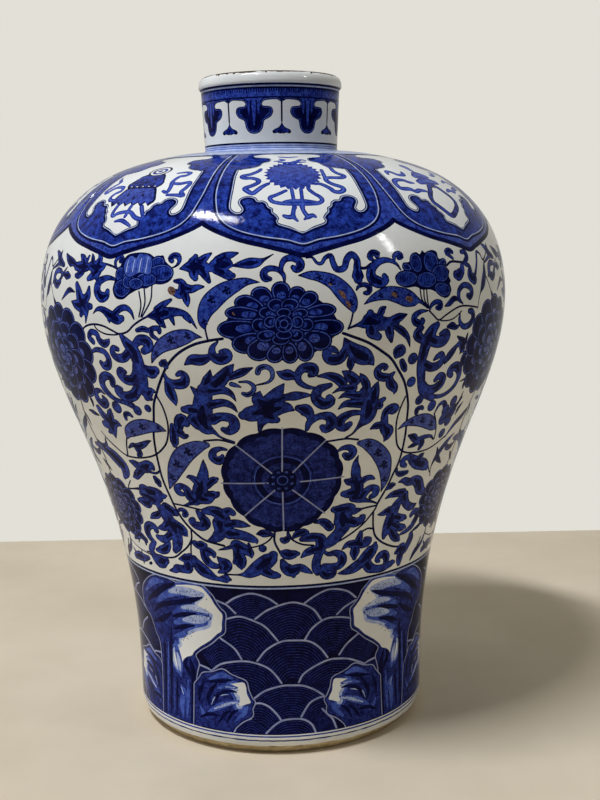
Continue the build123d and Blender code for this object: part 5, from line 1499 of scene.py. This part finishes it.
def skin_normals(corners, profile, length):
    """True normals of the turned surface at the corners of the skin."""
    slope = np.gradient(profile, length, axis=0)
    slope /= np.hypot(*slope.T)[:, None]
    angle, path = np.radians(corners[:, 0]), corners[:, 1]
    outward, upward = np.interp(path, length, slope[:, 0]), np.interp(path, length, slope[:, 1])
    return np.stack([upward * np.sin(angle), -upward * np.cos(angle), -outward], 1)


def placed(name, data):
    """A new object in the scene."""
    obj = bpy.data.objects.new(name, data)
    bpy.context.scene.collection.objects.link(obj)
    return obj


def end_ring(spots, end):
    """Angle and index of the points on one end of a piece, sorted by angle."""
    return sorted((angle, i) for i, (angle, path) in enumerate(spots) if abs(path - end) < NEAR)


def painted_piece(name, profile, low, high, paint, back, back_ink=GLAZE, grid=3.2, strips=3):
    """A closed turned piece: painted skin over an outline, then the back from its top to its foot."""
    length = arc_length(profile)
    scale = float(np.interp((low + high) / 2, length, profile[:, 0])) * math.pi / 180
    places, skin, inks = cut_surface(low, high, paint, scale, grid, strips)
    points, spots, faces = skin_points(places, skin, profile, length)
    corners = places[skin]
    foot, previous = end_ring(spots, low), end_ring(spots, high)
    for radius, height in back:
        current = []
        for angle in np.linspace(-180, 180, BACK_POINTS, endpoint=False):
            current.append((float(angle), len(points)))
            points.append(ring_point(radius, angle, height))
        faces.extend(loft(previous, current))
        previous = current
    faces.extend(loft(previous, foot))

    mesh = bpy.data.meshes.new(name)
    mesh.from_pydata(points, [], faces)
    mesh.update()
    for material in INKS:
        mesh.materials.append(material)
    index = np.full(len(faces), back_ink, np.int32)
    index[: len(inks)] = inks
    mesh.polygons.foreach_set("material_index", index)
    mesh.polygons.foreach_set("use_smooth", np.ones(len(faces), bool))
    layer = mesh.uv_layers.new(name="OFBake")
    corner_points = np.zeros(len(mesh.loops), np.int32)
    mesh.loops.foreach_get("vertex_index", corner_points)
    uv = back_map(np.array(points))[corner_points].astype(np.float32)
    uv[: 3 * len(skin)] = skin_map(corners, low, high, strips)
    layer.data.foreach_set("uv", uv.ravel())
    flat = np.zeros(len(faces) * 3, np.float32)
    mesh.polygons.foreach_get("normal", flat)
    normals = np.repeat(flat.reshape(-1, 3), 3, axis=0)
    normals[: 3 * len(skin)] = skin_normals(corners.reshape(-1, 2), profile, length)
    mesh.normals_split_custom_set(normals)
    return placed(name, mesh)


def turned_piece(name, loop, material):
    """Closed solid of revolution from a closed loop of radius and height, counter-clockwise."""
    points, faces = [], []
    count = len(loop)
    for i in range(TURN_STEPS):
        points.extend(ring_point(radius, 360 * i / TURN_STEPS, height) for radius, height in loop)
        near, far = i * count, (i + 1) % TURN_STEPS * count
        for j in range(count):
            k = (j + 1) % count
            faces.append((near + j, far + j, far + k, near + k))
    mesh = bpy.data.meshes.new(name)
    mesh.from_pydata(points, [], faces)
    mesh.materials.append(material)
    mesh.polygons.foreach_set("use_smooth", np.ones(len(faces), bool))
    mesh.update()
    return placed(name, mesh)


# Glaze materials: mottling between two tones, fine dark specks and the uneven skin of the fired glaze
MOTTLE_DETAIL, MOTTLE_ROUGH, MOTTLE_DARK, MOTTLE_LIGHT = 4.0, 0.6, 0.36, 0.66
SPECK_SCALE, SPECK_EDGE, SPECK_HEART, SPECK_TONE = 820.0, 0.36, 0.2, 0.4
SKIN_SCALE, SKIN_DEPTH = 700.0, 0.001
# Roughness of the glaze, its mirror levels over inks and over the white ground, and the height of its ripple
GLAZED = 0.08
DULL, USUAL, STRONG, BRIGHT = 0.04, 0.09, 0.26, 0.36
RIPPLE = 0.05


def linear(rgb):
    """Scene colour of an 8-bit screen colour."""
    return [((c / 255 + 0.055) / 1.055) ** 2.4 if c > 10 else c / 255 / 12.92 for c in rgb] + [1.0]


def ink_material(name, dark, light, scale, stipple=0.0, rough=GLAZED, gloss=USUAL, ripple=RIPPLE):
    """Glossy glaze over one ink: soft mottling between two tones and fine darker stipple."""
    material = bpy.data.materials.new(name)
    material.use_nodes = True
    nodes, links = material.node_tree.nodes, material.node_tree.links
    shader = nodes["Principled BSDF"]
    place = nodes.new("ShaderNodeTexCoord").outputs["Object"]
    noise = nodes.new("ShaderNodeTexNoise")
    noise.inputs["Scale"].default_value = scale
    noise.inputs["Detail"].default_value = MOTTLE_DETAIL
    noise.inputs["Roughness"].default_value = MOTTLE_ROUGH
    links.new(place, noise.inputs["Vector"])
    ramp = nodes.new("ShaderNodeValToRGB")
    ramp.color_ramp.elements[0].position = MOTTLE_DARK
    ramp.color_ramp.elements[1].position = MOTTLE_LIGHT
    ramp.color_ramp.elements[0].color = linear(dark)
    ramp.color_ramp.elements[1].color = linear(light)
    links.new(noise.outputs["Fac"], ramp.inputs["Fac"])
    colour = ramp.outputs["Color"]
    if stipple:
        specks = nodes.new("ShaderNodeTexVoronoi")
        specks.inputs["Scale"].default_value = SPECK_SCALE
        links.new(place, specks.inputs["Vector"])
        spot = nodes.new("ShaderNodeMapRange")
        spot.inputs["From Min"].default_value = SPECK_EDGE
        spot.inputs["From Max"].default_value = SPECK_HEART
        spot.inputs["To Max"].default_value = stipple
        links.new(specks.outputs["Distance"], spot.inputs["Value"])
        mix = nodes.new("ShaderNodeMix")
        mix.data_type = "RGBA"
        links.new(spot.outputs["Result"], mix.inputs["Factor"])
        links.new(colour, mix.inputs["A"])
        mix.inputs["B"].default_value = linear([c * SPECK_TONE for c in dark])
        colour = mix.outputs["Result"]
    if ripple:
        skin = nodes.new("ShaderNodeTexNoise")
        skin.inputs["Scale"].default_value = SKIN_SCALE
        links.new(place, skin.inputs["Vector"])
        bump = nodes.new("ShaderNodeBump")
        bump.inputs["Strength"].default_value = ripple
        bump.inputs["Distance"].default_value = SKIN_DEPTH
        links.new(skin.outputs["Fac"], bump.inputs["Height"])
        links.new(bump.outputs["Normal"], shader.inputs["Normal"])
    links.new(colour, shader.inputs["Base Color"])
    shader.inputs["Roughness"].default_value = rough
    shader.inputs["Specular IOR Level"].default_value = gloss
    return material


# One material for each ink, in the order of the inks
INKS = [
    ink_material("glaze_white", (222, 223, 219), (235, 236, 232), 26, 0.0, GLAZED, BRIGHT),
    ink_material("ink_pale", (146, 163, 210), (188, 200, 228), 240),
    ink_material("ink_wash", (9, 16, 78), (42, 70, 174), 330, 0.8),
    ink_material("ink_light", (44, 66, 156), (80, 106, 194), 260, 0.7),
    ink_material("ink_line", (4, 6, 42), (11, 18, 74), 260, 0.0, GLAZED, DULL),
    ink_material("ink_navy", (7, 7, 36), (14, 15, 62), 180, 0.6, GLAZED, DULL),
    ink_material("brown_stain", (30, 22, 28), (150, 112, 98), 1400, 0.5, 0.3),
    ink_material("biscuit", (168, 150, 112), (200, 184, 148), 160, 0.3, 0.8, 0.0),
    ink_material("ink_border", (22, 38, 128), (56, 84, 182), 420, 0.95, GLAZED, STRONG),
    ink_material("ink_foam", (128, 136, 178), (160, 167, 202), 200),
    ink_material("ink_disc", (18, 24, 84), (46, 60, 140), 380, 0.95, GLAZED, DULL),
    ink_material("ink_ribbon", (20, 36, 120), (40, 62, 156), 300),
    ink_material("lip_chip", (36, 30, 24), (104, 88, 66), 900, 0.0, 0.6),
]


# Inside: the height where the inner wall ends, its row spacing, and the throat under the collar
INNER_TOP, INNER_LIMIT, INNER_ROW = 282.0, 285.0, 9
THROAT_RADIUS, THROAT_DROP = 44.0, 0.6
NECK_GRID, RIM_GRID = 1.6, 1.0
# Base disc: its underside has shallow turning rings
BASE_RINGS, BASE_RING_STEP, BASE_RING_DEPTH = 19, 3.4, 0.16


def inner_back(low, high):
    """Points of the inner wall from the upper joint down to the lower one."""
    normal = np.stack([BODY_SLOPE[:, 1], -BODY_SLOPE[:, 0]], 1)
    wall = BODY - normal / np.hypot(*normal.T)[:, None] * WALL
    keep = (np.diff(wall[:, 1], prepend=-1) > 0) & (wall[:, 1] < INNER_LIMIT)
    rows, radii = wall[keep, 1], wall[keep, 0]
    heights = np.linspace(high, low, max(3, int((high - low) / INNER_ROW)))
    return [(float(np.interp(z, rows, radii)), float(z)) for z in heights]


def whole_piece(name, profile, paint, back, **more):
    """A painted piece over the whole of its own outline."""
    end = float(arc_length(profile)[-1])
    return painted_piece(name, profile, 0.0, end, paint, back, strips=1, **more)


waist, belly = path_at(WAIST_JOINT), path_at(BELLY_JOINT)
lower_back = inner_back(FOOT_HEIGHT, WAIST_JOINT)
lower = painted_piece("vase_lower", BODY, 0.0, waist, body_paint, lower_back)
middle_back = inner_back(WAIST_JOINT, BELLY_JOINT)
middle = painted_piece("vase_middle", BODY, waist, belly, body_paint, middle_back)
throat = COLLAR_HEIGHT - WALL
shoulder_back = [(OPEN_RADIUS, COLLAR_HEIGHT), (OPEN_RADIUS, throat)]
shoulder_back += [(THROAT_RADIUS, throat - THROAT_DROP)] + inner_back(BELLY_JOINT, INNER_TOP)
shoulder = painted_piece("vase_shoulder", BODY, belly, BODY_END, body_paint, shoulder_back, strips=2)

foot_back = [(RECESS_RADIUS, FOOT_HEIGHT), (RECESS_RADIUS, 0.0)]
foot = whole_piece("vase_foot", FOOT, foot_paint(), foot_back, back_ink=BARE)
neck_back = [(NECK_BORE, RIM_JOINT), (NECK_BORE, COLLAR_HEIGHT)]
neck = whole_piece("vase_neck", NECK, neck_paint(), neck_back, grid=NECK_GRID)
rim = whole_piece("vase_rim", LIP, lip_paint(), [(OPEN_RADIUS, RIM_JOINT)], grid=RIM_GRID)

base_loop = [(BASE_CENTRE, FOOT_HEIGHT)]
for i in range(BASE_RINGS, 0, -1):
    rise = 0.0 if i % 2 else BASE_RING_DEPTH
    base_loop.append((BASE_RADIUS - BASE_RING_STEP * i, FOOT_HEIGHT + rise))
base_loop += [(BASE_RADIUS, FOOT_HEIGHT), (BASE_RADIUS, BASE_TOP), (BASE_CENTRE, BASE_TOP)]
base = turned_piece("vase_base", base_loop, INKS[GLAZE])

PIECES = [
    (lower, "lower_body", "glaze"), (middle, "middle_body", "glaze"), (shoulder, "shoulder", "glaze"),
    (foot, "foot_ring", "biscuit"), (base, "base_disc", "glaze"),
    (neck, "neck", "glaze"), (rim, "mouth_rim", "glaze"),
]
for piece, node, slot in PIECES:
    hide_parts(node)
    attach(piece, "root")


# The stage in metres: a plain pale floor that ends behind the vase, like the table in the photo
FLOOR_CORNERS = [(-0.9, -0.7, 0), (0.9, -0.7, 0), (0.9, 0.312, 0), (-0.9, 0.326, 0)]
floor_mesh = bpy.data.meshes.new("floor")
floor_mesh.from_pydata(FLOOR_CORNERS, [], [(0, 1, 2, 3)])
paper = ink_material("floor_paper", (210, 196, 171), (220, 206, 182), 9, 0, 0.7, 0.2, 0)
floor_mesh.materials.append(paper)
floor = placed("floor", floor_mesh)

DAYLIGHT, WHITE = (0.95, 0.985, 1.06), (1, 1, 1)


def area(name, place, aim_height, size, power, colour):
    """A rectangular lamp that faces the vase's axis at a height."""
    light = bpy.data.lights.new(name, "AREA")
    light.shape = "RECTANGLE"
    light.size, light.size_y = size
    light.energy = power
    light.color = colour
    lamp = placed(name, light)
    lamp.location = place
    lamp.rotation_euler = (Vector((0, 0, aim_height)) - Vector(place)).to_track_quat("-Z", "Y").to_euler()
    return lamp


area("key", (-0.70, -0.62, 2.1), 0.22, (0.7, 0.16), 36, DAYLIGHT)
left_lamp = area("left", (-1.9, -0.5, 1.0), 0.18, (1.9, 1.9), 10, DAYLIGHT)
# The glaze mirrors the key and the right strip only
left_lamp.visible_glossy = False
area("right", (1.55, -0.82, 1.40), 0.22, (0.07, 0.5), 4, WHITE)

# The pale wall behind the vase: full to the camera, softer as a light, and dim towards the room in front
WALL_COLOUR = (226, 224, 215)
ROOM_SIDE, WALL_SIDE = -0.1, 0.5
ROOM_LEVEL, WALL_LEVEL = 0.1, 0.6
world = bpy.data.worlds.new("studio")
world.use_nodes = True
nodes, links = world.node_tree.nodes, world.node_tree.links
background = nodes["Background"]
background.inputs["Color"].default_value = linear(WALL_COLOUR)
direction = nodes.new("ShaderNodeSeparateXYZ")
links.new(nodes.new("ShaderNodeTexCoord").outputs["Generated"], direction.inputs["Vector"])
level = nodes.new("ShaderNodeMapRange")
level.inputs["From Min"].default_value = ROOM_SIDE
level.inputs["From Max"].default_value = WALL_SIDE
level.inputs["To Min"].default_value = ROOM_LEVEL
level.inputs["To Max"].default_value = WALL_LEVEL
links.new(direction.outputs["Y"], level.inputs["Value"])
strength = nodes.new("ShaderNodeMath")
strength.operation = "MAXIMUM"
links.new(nodes.new("ShaderNodeLightPath").outputs["Is Camera Ray"], strength.inputs[0])
links.new(level.outputs["Result"], strength.inputs[1])
links.new(strength.outputs["Value"], background.inputs["Strength"])
bpy.context.scene.world = world

# Camera: the photo is 600 by 800 pixels; pitch down, slight yaw to the right and a small roll
CAMERA_PLACE = (0.0, -0.606, 0.260)
PITCH, YAW, ROLL = math.radians(8.99), math.radians(1.20), math.radians(-0.92)
LENS, SENSOR_HEIGHT, SENSOR_WIDTH = 51.98, 36.0, 27.0
forward = Vector((math.cos(PITCH) * math.sin(YAW), math.cos(PITCH) * math.cos(YAW), -math.sin(PITCH)))
right = Vector((math.cos(YAW), -math.sin(YAW), 0))
down = forward.cross(right)
image_right = right * math.cos(ROLL) - down * math.sin(ROLL)
image_down = right * math.sin(ROLL) + down * math.cos(ROLL)
camera_data = bpy.data.cameras.new("camera")
camera_data.lens = LENS
camera_data.sensor_fit = "VERTICAL"
camera_data.sensor_height = SENSOR_HEIGHT
camera_data.sensor_width = SENSOR_WIDTH
camera_data.clip_start = 0.05
camera = placed("camera", camera_data)
axes = Matrix((image_right, -image_down, -forward)).transposed()
camera.matrix_world = Matrix.Translation(CAMERA_PLACE) @ axes.to_4x4()
bpy.context.scene.camera = camera
bpy.context.scene.view_settings.view_transform = "Standard"
